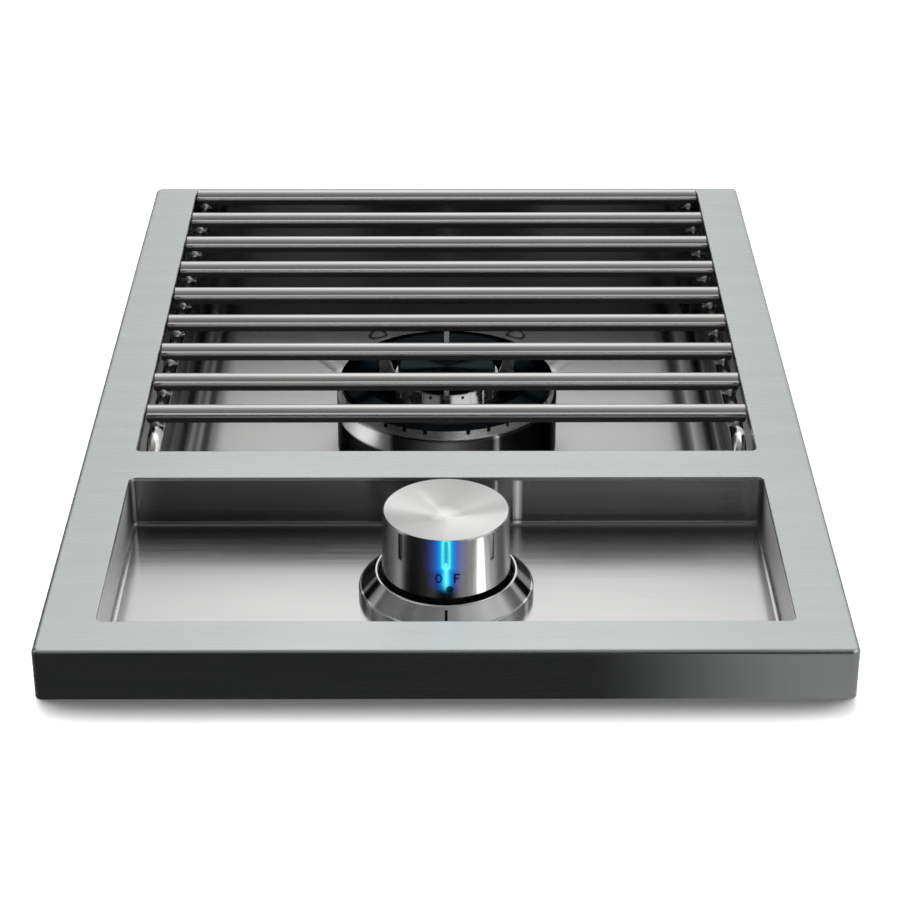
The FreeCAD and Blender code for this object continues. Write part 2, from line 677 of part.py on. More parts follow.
def make_burner_crown():
    """Flame ring with seven ports in each quarter, and none at the four quarter points."""
    body = turned("burner_crown", [[
        ("ringBore", "baseTopZ"), ("ringRadius", "baseTopZ"), ("ringRadius", "baseTopZ + 1.2"),
        ("ringTopRadius", "ringTopZ"), ("ringBore", "ringTopZ")]], keep_it=False)
    for step in range(1, 8):
        sketch = add_sketch(body, "XY_Plane", "ringTopZ", turn=step * sizes["notchStep"])
        draw_rectangle(sketch, "ringBore - 1", "-notchWidth / 2", "ringRadius + 1", "notchWidth / 2")
        notch = add_pocket(body, sketch, "notchDepth")
        add_ring(body, notch, sketch, 4)
    place(body, "0", "burnerY")
    keep(body, "burner_crown")


def make_burner_cap():
    """Enamelled annular cap, crowned between its rims, with a skirt inside the flame ring."""
    skirt_out = "(ringBore - skirtGap)"
    turned("burner_cap", [[
        (skirt_out, "ringTopZ - 2.5"), (skirt_out, "ringTopZ"), ("ringTopRadius", "ringTopZ"),
        ("ringTopRadius", "topZ - capEdge - 0.6"), ("ringTopRadius - 0.8", "topZ - capEdge"),
        ("(ringTopRadius + capInner) / 2", "topZ - (capEdge + capInnerTop) / 2 + capCrest"),
        ("capInner + 0.6", "topZ - capInnerTop"), ("capInner", "topZ - capInnerTop - 0.6"),
        ("capInner", "topZ - capInnerTop - capThick"),
        (f"{skirt_out} - 1.6", "ringTopZ"), (f"{skirt_out} - 1.6", "ringTopZ - 2.5")]], y="burnerY")


def make_inner_crown():
    """Centre tube with a row of small gas ports and a shallow flute between every two of them."""
    body = turned("inner_crown", [[
        ("innerRadius - innerWall", "baseFloorZ"), ("innerRadius", "baseFloorZ"),
        ("innerRadius", "topZ - innerTop"), ("innerRadius - innerWall", "topZ - innerTop")]], keep_it=False)
    sketch = add_sketch(body, "XZ_Plane")
    draw_circle(sketch, "0", "topZ - portDepth", "portRadius")
    port = add_pocket(body, sketch, "innerRadius + 1", back=True)
    upright = add_sketch(body, "XY_Plane")
    add_ring(body, port, upright, 20)
    for step in (1.5, 2.5, 3.5):
        flute = add_sketch(body, "XY_Plane", "topZ - innerTop", turn=18 * step)
        draw_rectangle(flute, "innerRadius - fluteDepth", "-fluteWidth / 2", "innerRadius + 1",
                       "fluteWidth / 2")
        add_ring(body, add_pocket(body, flute, "fluteLength"), flute, 4)
    place(body, "0", "burnerY")
    keep(body, "inner_crown")


def make_inner_cap():
    """Small spun cap that rests on the centre tube."""
    turned("inner_cap", [[
        ("0", "topZ - innerTop"), ("innerRadius - innerWall - skirtGap - 1.5", "topZ - innerTop"),
        ("innerRadius - innerWall - skirtGap - 1.5", "topZ - innerTop - 1.6"),
        ("innerRadius - innerWall - skirtGap", "topZ - innerTop - 1.6"),
        ("innerRadius - innerWall - skirtGap", "topZ - innerTop"), ("innerCapRadius", "topZ - innerTop"),
        ("innerCapRadius", "topZ - innerCapTop - 0.8"), ("innerCapRadius - 1.2", "topZ - innerCapTop"),
        ("0", "topZ - innerCapTop - innerCapDish")]], y="burnerY")


def make_burner_fins():
    """Four upright plates on the centre tube, which slope towards it at the foot."""
    pieces = []
    for number in range(4):
        body = new_body("fin")
        sketch = add_sketch(body, "XZ_Plane")
        draw_loop(sketch, [
            ("innerRadius + fitGap", "topZ - finFoot"), ("finOuter", "topZ - finFoot"),
            ("finOuter", "topZ - finTop"), ("finTopInner", "topZ - finTop"),
            ("innerRadius + fitGap", "topZ - finHeel")])
        add_pad(body, sketch, "finThick", both=True)
        body.Placement = Placement(Vector(0, 0, 0), Rotation(Vector(0, 0, 1), 90 * number))
        place(body, "0", "burnerY", "0")
        pieces.append(body)
    group("burner_fins", pieces)


def make_venturi():
    """Mixing tube under the well: a flared mouth, air windows, an elbow and a collar."""
    cup_z = "(tubeZ - tubeRadius - tubeWall)"
    window_y = "(tubeFrontY + shutterSetback + shutterLength / 2)"
    outside = joined("venturi_outside", [
        rod("tube_run", "tubeRadius", "burnerY - tubeFrontY", "0", "tubeFrontY", "tubeZ", "y"),
        rod("tube_mouth", "bellRadius", "bellLength", "0", "tubeFrontY", "tubeZ", "y"),
        rod("tube_collar", "collarRadius", f"topZ - collarTop - {cup_z}", "0", "burnerY", cup_z)])
    inside = joined("venturi_inside", [
        rod("tube_bore", "tubeRadius - tubeWall", "burnerY - tubeFrontY + 1", "0", "tubeFrontY - 1", "tubeZ",
            "y"),
        rod("collar_bore", "neckBore", f"topZ - neckDepth - {cup_z}", "0", "burnerY", f"{cup_z} + tubeWall"),
        rod("collar_socket", "neckRadius + fitGap", "neckDepth - collarTop + 1", "0", "burnerY",
            "topZ - neckDepth"),
        box("tube_windows", "-bellRadius", "bellRadius", f"{window_y} - windowLength / 2",
            f"{window_y} + windowLength / 2", "tubeZ - windowWidth / 2", "tubeZ + windowWidth / 2")])
    keep(without("venturi_cut", outside, inside), "venturi_tube")


def make_air_shutter():
    """Sleeve on the mixing tube that covers or clears its air windows."""
    inner = "(tubeRadius + shutterGap)"
    outer = f"({inner} + shutterWall)"
    y = "tubeFrontY + shutterSetback"
    sleeve = joined("shutter_outside", [
        rod("shutter_sleeve", outer, "shutterLength", "0", y, "tubeZ", "y"),
        box("shutter_tab", "-1", "1", y, f"{y} + shutterLength / 2", f"tubeZ - {outer} - tabHeight",
            "tubeZ")])
    cuts = joined("shutter_inside", [
        rod("shutter_bore", inner, "shutterLength + 2", "0", f"{y} - 1", "tubeZ", "y"),
        box("shutter_window", "-bellRadius - 2", "bellRadius + 2",
            f"{y} + (shutterLength - windowLength) / 2", f"{y} + (shutterLength + windowLength) / 2",
            "tubeZ - windowWidth / 2", "tubeZ + windowWidth / 2")])
    keep(without("shutter_cut", sleeve, cuts), "air_shutter")


def make_jet():
    """Brass gas jet that screws into the valve's foot and points into the mixing tube."""
    y = "knobY + valveLeg / 2"
    nut = hexagon("jet_nut", "jetHex", "jetHexLength", "0", y, "tubeZ", "y")
    nose = rod("jet_nose", "jetRadius", "jetLength", "0", y, "tubeZ", "y")
    hole = rod("jet_hole", "0.6", "jetLength + 2", "0", f"{y} - 1", "tubeZ", "y")
    keep(without("jet_cut", joined("jet_solid", [nut, nose]), hole), "jet_nozzle")


# Igniter


def make_igniter():
    """Electrode behind the burner, its clip, the spark module and the lead between them."""
    turned("electrode_ceramic", [[
        ("pinRadius + fitGap", "topZ - ceramicFoot"), ("ceramicRadius", "topZ - ceramicFoot"),
        ("ceramicRadius", "topZ - ceramicTop - 2"), ("ceramicRadius - 1.2", "topZ - ceramicTop"),
        ("pinRadius + fitGap", "topZ - ceramicTop")]], y="electrodeY")
    turned("electrode_pin", [[
        ("0", "topZ - ceramicFoot"), ("pinRadius", "topZ - ceramicFoot"), ("pinRadius", "topZ - pinTop - 1"),
        ("pinRadius * 0.4", "topZ - pinTop"), ("0", "topZ - pinTop")]], y="electrodeY")
    plate = box("clip_plate", "-tabWidth / 2", "tabWidth / 2", "electrodeY - ceramicRadius - 1.5",
                "electrodeY - ceramicRadius - 1.5 + tabLength", "wellFloorZ", "wellFloorZ + tabThick")
    ear = joined("clip_solid", [
        plate, rod("clip_sleeve", "ceramicRadius + 1.3", "tabThick * 5", "0", "electrodeY", "wellFloorZ")])
    bore = rod("clip_bore", "ceramicRadius + fitGap", "tabThick * 8", "0", "electrodeY", "wellFloorZ - 1")
    keep(without("clip_cut", ear, bore), "electrode_clip")
    case = box("module_case", "-moduleX - moduleWidth / 2", "moduleWidth / 2 - moduleX",
               "knobY - moduleDepth / 2", "knobY + moduleDepth / 2", "recessUnderZ - moduleHeight",
               "recessUnderZ")
    stub = rod("module_stub", "leadRadius + 1.4", "5", "-moduleX", "knobY + moduleDepth / 2",
               "recessUnderZ - moduleHeight / 2", "y")
    keep(joined("module_solid", [case, stub]), "spark_module")
    stub_y = "knobY + moduleDepth / 2 + 5"
    stub_z = "recessUnderZ - moduleHeight / 2"
    tube_along("igniter_lead", [
        ("-moduleX", stub_y, stub_z), ("-moduleX", f"{stub_y} + 16", stub_z),
        ("-moduleX", f"{stub_y} + 16", "tubeZ"), ("-moduleX", "burnerY", "tubeZ"),
        ("0", "electrodeY", "topZ - ceramicFoot - 12"),
        ("0", "electrodeY", "topZ - ceramicFoot")], value("leadRadius"), 6)


# Knob and bezel


def slot_shape(name, x0, x1, gap):
    """A block as wide and high as a slot, less a gap all round, with its lower end round."""
    half = f"(slotWidth / 2 - {gap})"
    round_z = "(slotTopZ - slotHeight + slotWidth / 2)"
    return joined(name, [
        box(name + "_block", x0, x1, f"-{half}", half, round_z, f"slotTopZ - {gap}"),
        rod(name + "_end", half, f"({x1}) - ({x0})", x0, "0", round_z, "x")])


def make_knob():
    """Hollow metal knob with a dished top, eight slots and clear bars in the slots."""
    wall_in = "(knobRadius - knobWall)"
    dish_edge = "(knobRadius - knobChamfer)"
    dish_run = f"({dish_edge} - dishLand)"
    half_chord = f"(sqrt({dish_run} ^ 2 + knobDish ^ 2) / 2)"
    dish_round = f"(({half_chord} ^ 2 + dishCrown ^ 2) / (2 * dishCrown))"
    dish_mid = (f"({dish_edge} + dishLand) / 2 + dishCrown * knobDish / (2 * {half_chord})",
                f"knobTopZ - knobDish / 2 - dishCrown * {dish_run} / (2 * {half_chord})")
    shell = turned("knob_shell", [[
        ("stemRadius + fitGap", "hubEndZ"), ("hubRadius", "hubEndZ"), ("hubRadius", "knobTopZ - 6"),
        (wall_in, "knobTopZ - 6"), ("knobSkirtRadius - knobWall", "skirtZ"),
        ("knobSkirtRadius", "skirtZ"), ("knobRadius", "knobTopZ - knobChamfer"),
        (dish_edge, "knobTopZ"), ("dishLand", "knobTopZ - knobDish", *dish_mid, dish_round),
        ("0", "knobTopZ - knobDish"), ("0", "topZ + stemTop"),
        ("stemRadius + fitGap", "topZ + stemTop")]], y="knobY", keep_it=False)
    cutters = []
    bars = []
    for number in range(8):
        turn = Rotation(Vector(0, 0, 1), 45 * number - 90)
        cutter = slot_shape("slot_cutter", "knobRadius - knobWall - slotReach", "knobRadius + 3", "0")
        bar = slot_shape("light_bar", "knobRadius - knobWall - slotReach + lensGap",
                         "knobRadius - lensInset", "lensGap")
        for piece, bag in ((cutter, cutters), (bar, bars)):
            turned_piece = doc.addObject("Part::Compound", "turned_piece")
            turned_piece.Links = [piece]
            turned_piece.Placement = Placement(Vector(0, 0, 0), turn)
            place(turned_piece, "0", "knobY", "0")
            bag.append(turned_piece)
    doc.recompute()
    keep(without("knob_cut", shell, joined("knob_slots", cutters)), "knob_body")
    group("knob_light_bars", bars)


def make_bezel():
    """Polished cone ring round the knob, with rounded edges and a mark cut at the front."""
    cut = "bezelRound * (1 - sqrt(0.5))"
    rim = "(bezelRim - bezelBore)"
    body = turned("bezel", [[
        ("bezelBore", "recessFloorZ"), ("bezelRadius", "recessFloorZ"),
        ("bezelRadius", "recessFloorZ + bezelEdge - bezelRound"),
        ("bezelRadius - bezelRound", "recessFloorZ + bezelEdge", f"bezelRadius - {cut}",
         f"recessFloorZ + bezelEdge - {cut}", "bezelRound"),
        (f"bezelRim + {rim} / 2", "topZ - bezelTop - 0.4"), ("bezelRim", "topZ - bezelTop"),
        (f"bezelBore + {rim} / 2", "topZ - bezelTop"), ("bezelBore", "topZ - bezelTop - 0.5")]],
        keep_it=False)
    fall = (f"((topZ - bezelTop - 0.4 - recessFloorZ - bezelEdge)"
            f" / (bezelRadius - bezelRound - bezelRim - {rim} / 2))")
    foot_z = f"recessFloorZ + bezelEdge + tickInset * {fall} - tickDepth"
    head_z = f"topZ - bezelTop - 0.4 - tickInset * {fall} - tickDepth"
    outer_y = "-(bezelRadius - bezelRound - tickInset)"
    inner_y = f"-(bezelRim + {rim} / 2 + tickInset)"
    mark = add_sketch(body, "YZ_Plane")
    draw_loop(mark, [(outer_y, foot_z), (inner_y, head_z), (inner_y, "topZ"), (outer_y, "topZ")])
    add_pocket(body, mark, "tickWidth", both=True)
    place(body, "0", "knobY")
    keep(body, "bezel")


def make_light_ring():
    """Ring that lights the knob from below."""
    turned("light_ring", [[
        ("neckHole + 3", "recessFloorZ"), ("bezelBore - 0.3", "recessFloorZ"),
        ("bezelBore - 0.3", "recessFloorZ + ringThick"), ("neckHole + 3", "recessFloorZ + ringThick")]],
        y="knobY")


def make_stem_parts():
    """Stem that the knob sits on, the plug it turns in the valve, and the spring that lifts it."""
    turned("valve_stem", [[
        ("0", "topZ - stemEnd"), ("stemRadius", "topZ - stemEnd"), ("stemRadius", "topZ + stemTop - 0.3"),
        ("0", "topZ + stemTop - 0.3")]], y="knobY")
    turned("valve_plug", [[
        ("0", "topZ - plugFoot"), ("plugRadius", "topZ - plugFoot"), ("plugRadius", "topZ - plugTop"),
        ("stemRadius + fitGap", "topZ - plugTop"), ("stemRadius + fitGap", "topZ - plugBore"),
        ("0", "topZ - plugBore")]], y="knobY")
    turned("return_spring", [[
        ("springBore", "neckTopZ + 0.1"), ("springRadius", "neckTopZ + 0.1"),
        ("springRadius", "hubEndZ - 0.1"), ("springBore", "hubEndZ - 0.1")]], y="knobY")


# Gas side


def make_valve():
    """Cast valve body hung from a bracket, with a neck for the stem and a foot for the jet."""
    half = "valveWidth / 2"
    plate = box("bracket_plate", "-bracketWidth / 2", "bracketWidth / 2", "knobY - bracketDepth / 2",
                "knobY + bracketDepth / 2", "valveTopZ", "recessUnderZ")
    hole = rod("bracket_hole", "valveNeck + 0.3", "bracketThick + 2", "0", "knobY", "valveTopZ - 1", "z")
    keep(without("bracket_cut", plate, hole), "valve_bracket")
    body = joined("valve_solid", [
        box("valve_block", f"-{half}", half, f"knobY - {half}", f"knobY + {half}", "valveEndZ", "valveTopZ"),
        rod("valve_neck", "valveNeck", "neckTopZ - valveTopZ + 5", "0", "knobY", "valveTopZ - 5", "z"),
        box("valve_foot", "-valveLeg / 2", "valveLeg / 2", "knobY - valveLeg / 2", "knobY + valveLeg / 2",
            "topZ - valveLegEnd", "valveEndZ + 1")])
    bores = joined("valve_bores", [
        rod("stem_bore", "stemRadius + fitGap", "plugTop - valveNeckTop + 1", "0", "knobY", "topZ - plugTop"),
        rod("plug_bore", "plugRadius + fitGap", "plugFoot - plugTop + 2 * plugPlay", "0", "knobY",
            "topZ - plugFoot - plugPlay")])
    keep(without("valve_cut", body, bores), "valve_body")


def make_gas_line():
    """Pipe from the valve's side port to a threaded inlet in the right-hand panel."""
    port_x = "valveWidth / 2"
    keep(hexagon("port_nut", "nutHex", "nutLength", port_x, "knobY", "pipePortZ", "x"), "valve_nut")
    end_x = "(casingInner - inletTail)"
    body = new_body("gas_pipe")
    path = add_sketch(body, "XZ_Plane")
    turn = "pipeBend * (1 - sqrt(0.5))"
    draw_loop(path, [
        ("valveWidth / 2 + nutLength", "pipePortZ"), ("pipeTurn - pipeBend", "pipePortZ"),
        ("pipeTurn", "pipePortZ - pipeBend", f"pipeTurn - {turn}", f"pipePortZ - {turn}", "pipeBend"),
        ("pipeTurn", "pipeDropZ + pipeBend"),
        ("pipeTurn + pipeBend", "pipeDropZ", f"pipeTurn + {turn}", f"pipeDropZ + {turn}", "pipeBend"),
        (end_x, "pipeDropZ")], close=False)
    section = add_sketch(body, "YZ_Plane", "valveWidth / 2 + nutLength")
    draw_circle(section, "0", "pipePortZ", "pipeRadius")
    doc.recompute()
    pipe = body.newObject("PartDesign::AdditivePipe", "gas_pipe_run")
    pipe.Profile = section
    pipe.Spine = (path, [])
    doc.recompute()
    place(body, "0", "knobY")
    keep(body, "gas_pipe")
    tail = "casingSheet + inletTail"
    fitting = joined("inlet_solid", [
        hexagon("inlet_hex", "inletHex", "inletHexLength", "casingHalf", "knobY", "pipeDropZ", "x"),
        rod("inlet_outer_thread", "inletThread", "inletHexLength + inletReach", "casingHalf", "knobY",
            "pipeDropZ", "x"),
        rod("inlet_inner_thread", "inletThread", f"{tail} + 1", "casingHalf - inletTail - casingSheet",
            "knobY", "pipeDropZ", "x")])
    bore = rod("inlet_bore", "inletBore", "inletHexLength + inletReach + inletTail",
               "casingHalf - inletTail + 2", "knobY", "pipeDropZ", "x")
    keep(without("inlet_cut", fitting, bore), "inlet_fitting")
    nut = hexagon("locknut_hex", "locknutHex", "locknutThick", "casingInner - locknutThick", "knobY",
                  "pipeDropZ", "x")
    thread = rod("locknut_bore", "inletThread + fitGap", "locknutThick + 2", "casingInner - locknutThick - 1",
                 "knobY", "pipeDropZ", "x")
    keep(without("locknut_cut", nut, thread), "inlet_locknut")


def make_power():
    """Circuit board under the recess, socket in the right-hand panel and the lead between them."""
    board = box("board_plate", "valveWidth / 2 + 3", "valveWidth / 2 + 3 + boardLength",
                "knobY - boardLength / 2", "knobY + boardLength / 2", "valveTopZ - boardThick", "valveTopZ")
    keep(board, "led_board")
    wide = "(socketWidth / 2)"
    tall = "(socketHeight / 2)"
    shell = joined("socket_solid", [
        box("socket_case", "casingHalf - socketDepth", "casingHalf", f"socketY - {wide}", f"socketY + {wide}",
            f"socketZ - {tall}", f"socketZ + {tall}"),
        box("socket_rim", "casingHalf", "casingHalf + socketFlange", f"socketY - {wide} - 2",
            f"socketY + {wide} + 2", f"socketZ - {tall} - 2", f"socketZ + {tall} + 2")])
    well = box("socket_hollow", "casingHalf - socketDepth + 4", "casingHalf + socketFlange + 1",
               f"socketY - {wide} + 2", f"socketY + {wide} - 2", f"socketZ - {tall} + 2",
               f"socketZ + {tall} - 2")
    keep(without("socket_cut", shell, well), "power_socket")
    start_x = "valveWidth / 2 + 3 + boardLength * 0.7"
    start_z = "valveTopZ - boardThick"
    tube_along("led_lead", [
        (start_x, "knobY - 5", start_z), (start_x, "knobY - 5", f"{start_z} - 10"),
        (f"{start_x} + 30", "socketY", "socketZ"), ("casingHalf - socketDepth", "socketY", "socketZ")],
        value("wireRadius"), 5)


make_top_frame()
make_control_recess()
make_burner_well()
make_casing()
make_casing_screws()
make_grate()
make_grate_rests()
make_burner_base()
make_burner_crown()
make_burner_cap()
make_inner_crown()
make_inner_cap()
make_burner_fins()
make_venturi()
make_air_shutter()
make_jet()
make_igniter()
make_knob()
make_bezel()
make_light_ring()
make_stem_parts()
make_valve()
make_gas_line()
make_power()

doc.recompute()
failed = [thing.Name for thing in doc.Objects if "Invalid" in thing.State or "Error" in thing.State]
if failed:
    raise ValueError(f"failed objects: {failed}")
for part in parts:
    if part.Shape.isNull() or not part.Shape.isValid():
        raise ValueError(f"{part.Label} has no valid shape")
os.makedirs("parts", exist_ok=True)
for part in parts:
    part.Shape.exportStep(os.path.join("parts", part.Label + ".step"))
print(len(parts), "sub-parts written")
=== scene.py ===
import math

import bmesh
import bpy
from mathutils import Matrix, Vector


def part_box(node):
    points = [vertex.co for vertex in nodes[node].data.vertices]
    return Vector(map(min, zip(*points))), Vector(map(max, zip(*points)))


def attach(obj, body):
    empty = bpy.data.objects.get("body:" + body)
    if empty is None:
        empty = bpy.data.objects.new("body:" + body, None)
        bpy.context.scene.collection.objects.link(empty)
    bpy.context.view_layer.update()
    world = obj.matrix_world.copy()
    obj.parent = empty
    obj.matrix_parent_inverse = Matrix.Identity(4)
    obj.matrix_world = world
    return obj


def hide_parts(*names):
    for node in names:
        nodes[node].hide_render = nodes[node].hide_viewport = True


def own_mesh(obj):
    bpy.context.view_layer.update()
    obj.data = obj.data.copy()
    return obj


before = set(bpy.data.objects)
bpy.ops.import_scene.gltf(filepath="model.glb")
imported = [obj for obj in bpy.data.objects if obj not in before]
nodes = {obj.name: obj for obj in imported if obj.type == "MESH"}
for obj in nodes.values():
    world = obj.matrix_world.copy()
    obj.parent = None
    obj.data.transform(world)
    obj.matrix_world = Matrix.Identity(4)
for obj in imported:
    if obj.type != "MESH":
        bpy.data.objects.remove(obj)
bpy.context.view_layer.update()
print("frame loaded with", len(nodes), "nodes")


# node helpers

def newMaterial(name):
    material = bpy.data.materials.new(name)
    material.use_nodes = True
    material.node_tree.nodes.clear()
    return material, material.node_tree


def fill(tree, socket, entry):
    if isinstance(entry, bpy.types.NodeSocket):
        tree.links.new(entry, socket)
    else:
        socket.default_value = entry


def addNode(tree, kind, sockets=None, **settings):
    node = tree.nodes.new(kind)
    for key, setting in settings.items():
        setattr(node, key, setting)
    for key, entry in (sockets or {}).items():
        fill(tree, node.inputs[key], entry)
    return node


def mathNode(tree, operation, first, second=0.0, third=0.0):
    return addNode(tree, "ShaderNodeMath", {0: first, 1: second, 2: third}, operation=operation).outputs[0]


def product(tree, first, *others):
    for other in others:
        first = mathNode(tree, "MULTIPLY", first, other)
    return first


def greatest(tree, first, *others):
    for other in others:
        first = mathNode(tree, "MAXIMUM", first, other)
    return first


def lengthOf(tree, first, second):
    squares = mathNode(tree, "ADD", product(tree, first, first), product(tree, second, second))
    return mathNode(tree, "SQRT", squares)


def apart(tree, first, second):
    return mathNode(tree, "ABSOLUTE", mathNode(tree, "SUBTRACT", first, second))


def vectorNode(tree, operation, first, second=(0.0, 0.0, 0.0)):
    node = addNode(tree, "ShaderNodeVectorMath", {0: first, 1: second}, operation=operation)
    return node.outputs["Value" if operation == "DISTANCE" else "Vector"]


def split(tree, vector):
    return addNode(tree, "ShaderNodeSeparateXYZ", {0: vector}).outputs


def joined(tree, x, y, z=0.0):
    return addNode(tree, "ShaderNodeCombineXYZ", {"X": x, "Y": y, "Z": z}).outputs[0]


def fromTo(tree, value, low, high, start=0.0, end=1.0, kind="SMOOTHSTEP"):
    node = addNode(tree, "ShaderNodeMapRange", {"Value": value, "From Min": low, "From Max": high,
                                                "To Min": start, "To Max": end}, interpolation_type=kind)
    return node.outputs["Result"]


def blend(tree, factor, first, second):
    node = addNode(tree, "ShaderNodeMix", {"Factor": factor, 2: first, 3: second}, data_type="FLOAT")
    return node.outputs[0]


def blendVector(tree, factor, first, second):
    node = addNode(tree, "ShaderNodeMix", {"Factor": factor, 4: first, 5: second}, data_type="VECTOR")
    return node.outputs[1]


def tint(tree, factor, first, second):
    first, second = (entry if isinstance(entry, bpy.types.NodeSocket) else (*entry, 1.0)
                     for entry in (first, second))
    node = addNode(tree, "ShaderNodeMix", {"Factor": factor, 6: first, 7: second}, data_type="RGBA")
    return node.outputs[2]


def darkened(tree, keep, colour):
    return tint(tree, keep, (0.0, 0.0, 0.0), colour)


def levelCurve(tree, place, points):
    low, high = points[0][0], points[-1][0]
    along = fromTo(tree, place, low, high, kind="LINEAR")
    node = addNode(tree, "ShaderNodeFloatCurve", {"Value": along})
    curve = node.mapping.curves[0]
    spots = [((at - low) / (high - low), level / 2) for at, level in points]
    curve.points[0].location = spots[0]
    curve.points[1].location = spots[-1]
    for spot in spots[1:-1]:
        curve.points.new(*spot)
    for point in curve.points:
        point.handle_type = "AUTO_CLAMPED"
    node.mapping.update()
    return product(tree, node.outputs["Value"], 2.0)


def noise(tree, vector, scale, detail=2.0, roughness=0.5):
    node = addNode(tree, "ShaderNodeTexNoise", {"Vector": vector, "Scale": scale, "Detail": detail,
                                                "Roughness": roughness})
    return node.outputs["Fac"]


def mingled(tree, fine, broad, share):
    return mathNode(tree, "ADD", product(tree, fine, share), product(tree, broad, 1 - share))


def shaded(tree, factor, look, paleShare=1.0):
    dark, pale = 1 - look["shade"], 1 + look["shade"] * paleShare
    return tint(tree, factor, tuple(part * dark for part in look["colour"]),
                tuple(min(part * pale, 1.0) for part in look["colour"]))


# the noise lies mostly between 0.3 and 0.7
def roughnessOf(tree, height, look):
    middle, spread = look["roughness"], look["spread"]
    return fromTo(tree, height, 0.3, 0.7, middle - spread, middle + spread)


def across(tree, first, second):
    return vectorNode(tree, "NORMALIZE", vectorNode(tree, "CROSS_PRODUCT", first, second))


def addOutput(tree, shader):
    addNode(tree, "ShaderNodeOutputMaterial", {"Surface": shader})


def dress(material, *names):
    for name in names:
        for slot in nodes[name].material_slots:
            slot.material = material


# places read from the frame, in metres

def middleOf(name):
    low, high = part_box(name)
    return (low.x + high.x) / 2, (low.y + high.y) / 2


knobAxis = middleOf("knob_body")
burnerAxis = middleOf("burner_cap")
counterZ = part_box("top_frame")[0].z


# metal with a grain: fine lines in colour, gloss and relief

finish = {"sideways": 0.7, "tilt": 0.02, "broadLength": 3.0, "broadShare": 0.12, "sheetCloud": 14.0,
          "turnedCloud": 60.0, "fineShare": 0.6, "depth": 0.00002, "coreRadius": 0.0004}


def addGrained(tree, look, fine, grainWay, sockets):
    bump = addNode(tree, "ShaderNodeBump", {"Height": fine, "Strength": look["relief"],
                                            "Distance": finish["depth"]})
    edge = look.get("edge", 1.0)
    shader = addNode(tree, "ShaderNodeBsdfPrincipled", {
        **sockets, "Anisotropic": look["anisotropy"], "Specular Tint": (edge, edge, edge, 1.0),
        "Tangent": grainWay, "Normal": bump.outputs["Normal"]})
    addOutput(tree, shader.outputs[0])


# grain along x, or along y on faces that look sideways; changes gives painted shade as a share of light kept,
# gloss and metal by place
def brushedSteel(name, look, changes=None):
    material, tree = newMaterial(name)
    place = addNode(tree, "ShaderNodeTexCoord").outputs["Object"]
    normal = addNode(tree, "ShaderNodeNewGeometry").outputs["Normal"]
    spot = split(tree, place)
    facing = split(tree, normal)
    sideways = mathNode(tree, "GREATER_THAN", mathNode(tree, "ABSOLUTE", facing["X"]), finish["sideways"])
    alongX = blendVector(tree, sideways, place, joined(tree, spot["Y"], spot["X"], spot["Z"]))
    lines = vectorNode(tree, "MULTIPLY", alongX, (look["length"], look["grain"], look["grain"]))
    broadGrain = look["grain"] * finish["broadShare"]
    broadLines = vectorNode(tree, "MULTIPLY", alongX, (finish["broadLength"], broadGrain, broadGrain))
    fine = noise(tree, lines, 1.0, 3.0, 0.6)
    broad = noise(tree, broadLines, 1.0)
    cloud = noise(tree, place, finish["sheetCloud"], 3.0)
    colour = shaded(tree, mingled(tree, fine, broad, 0.5), look, 0.6)
    rough = roughnessOf(tree, mingled(tree, fine, cloud, finish["fineShare"]), look)
    metal = 1.0
    if changes:
        keep, rough, metal = changes(tree, look, spot, facing, rough)
        # painted shade: the colour is darkened by the share of light kept
        colour = darkened(tree, keep, colour)
    addGrained(tree, look, fine, across(tree, normal, (1.0, finish["tilt"], 0.0)),
               {"Base Color": colour, "Metallic": metal, "Roughness": rough})
    return material


# painted reflections and shade: share of light kept by degrees from the front, within some radii only or with
# painted shade at the foot
def bandShare(tree, bands, turn, radius, height):
    keep = levelCurve(tree, turn, bands["levels"])
    if "within" in bands:
        inner, outer = bands["within"]
        beyond = product(tree, mathNode(tree, "GREATER_THAN", radius, outer), bands["outside"])
        keep = greatest(tree, keep, beyond, mathNode(tree, "LESS_THAN", radius, inner))
    if "foot" in bands:
        past = mathNode(tree, "GREATER_THAN", turn, bands["footUntil"])
        keep = product(tree, keep, greatest(tree, fromTo(tree, height, *bands["foot"]), past))
    return keep


def inkedMark(tree, mark, spot, colour, rough):
    inWidth = mathNode(tree, "LESS_THAN", mathNode(tree, "ABSOLUTE", spot["X"]), mark["half"])
    inMark = product(tree, inWidth, mathNode(tree, "LESS_THAN", spot["Y"], -mark["near"]))
    return {"Base Color": tint(tree, inMark, colour, mark["paint"]),
            "Metallic": mathNode(tree, "SUBTRACT", 1.0, inMark),
            "Roughness": greatest(tree, rough, product(tree, inMark, mark["roughness"]))}


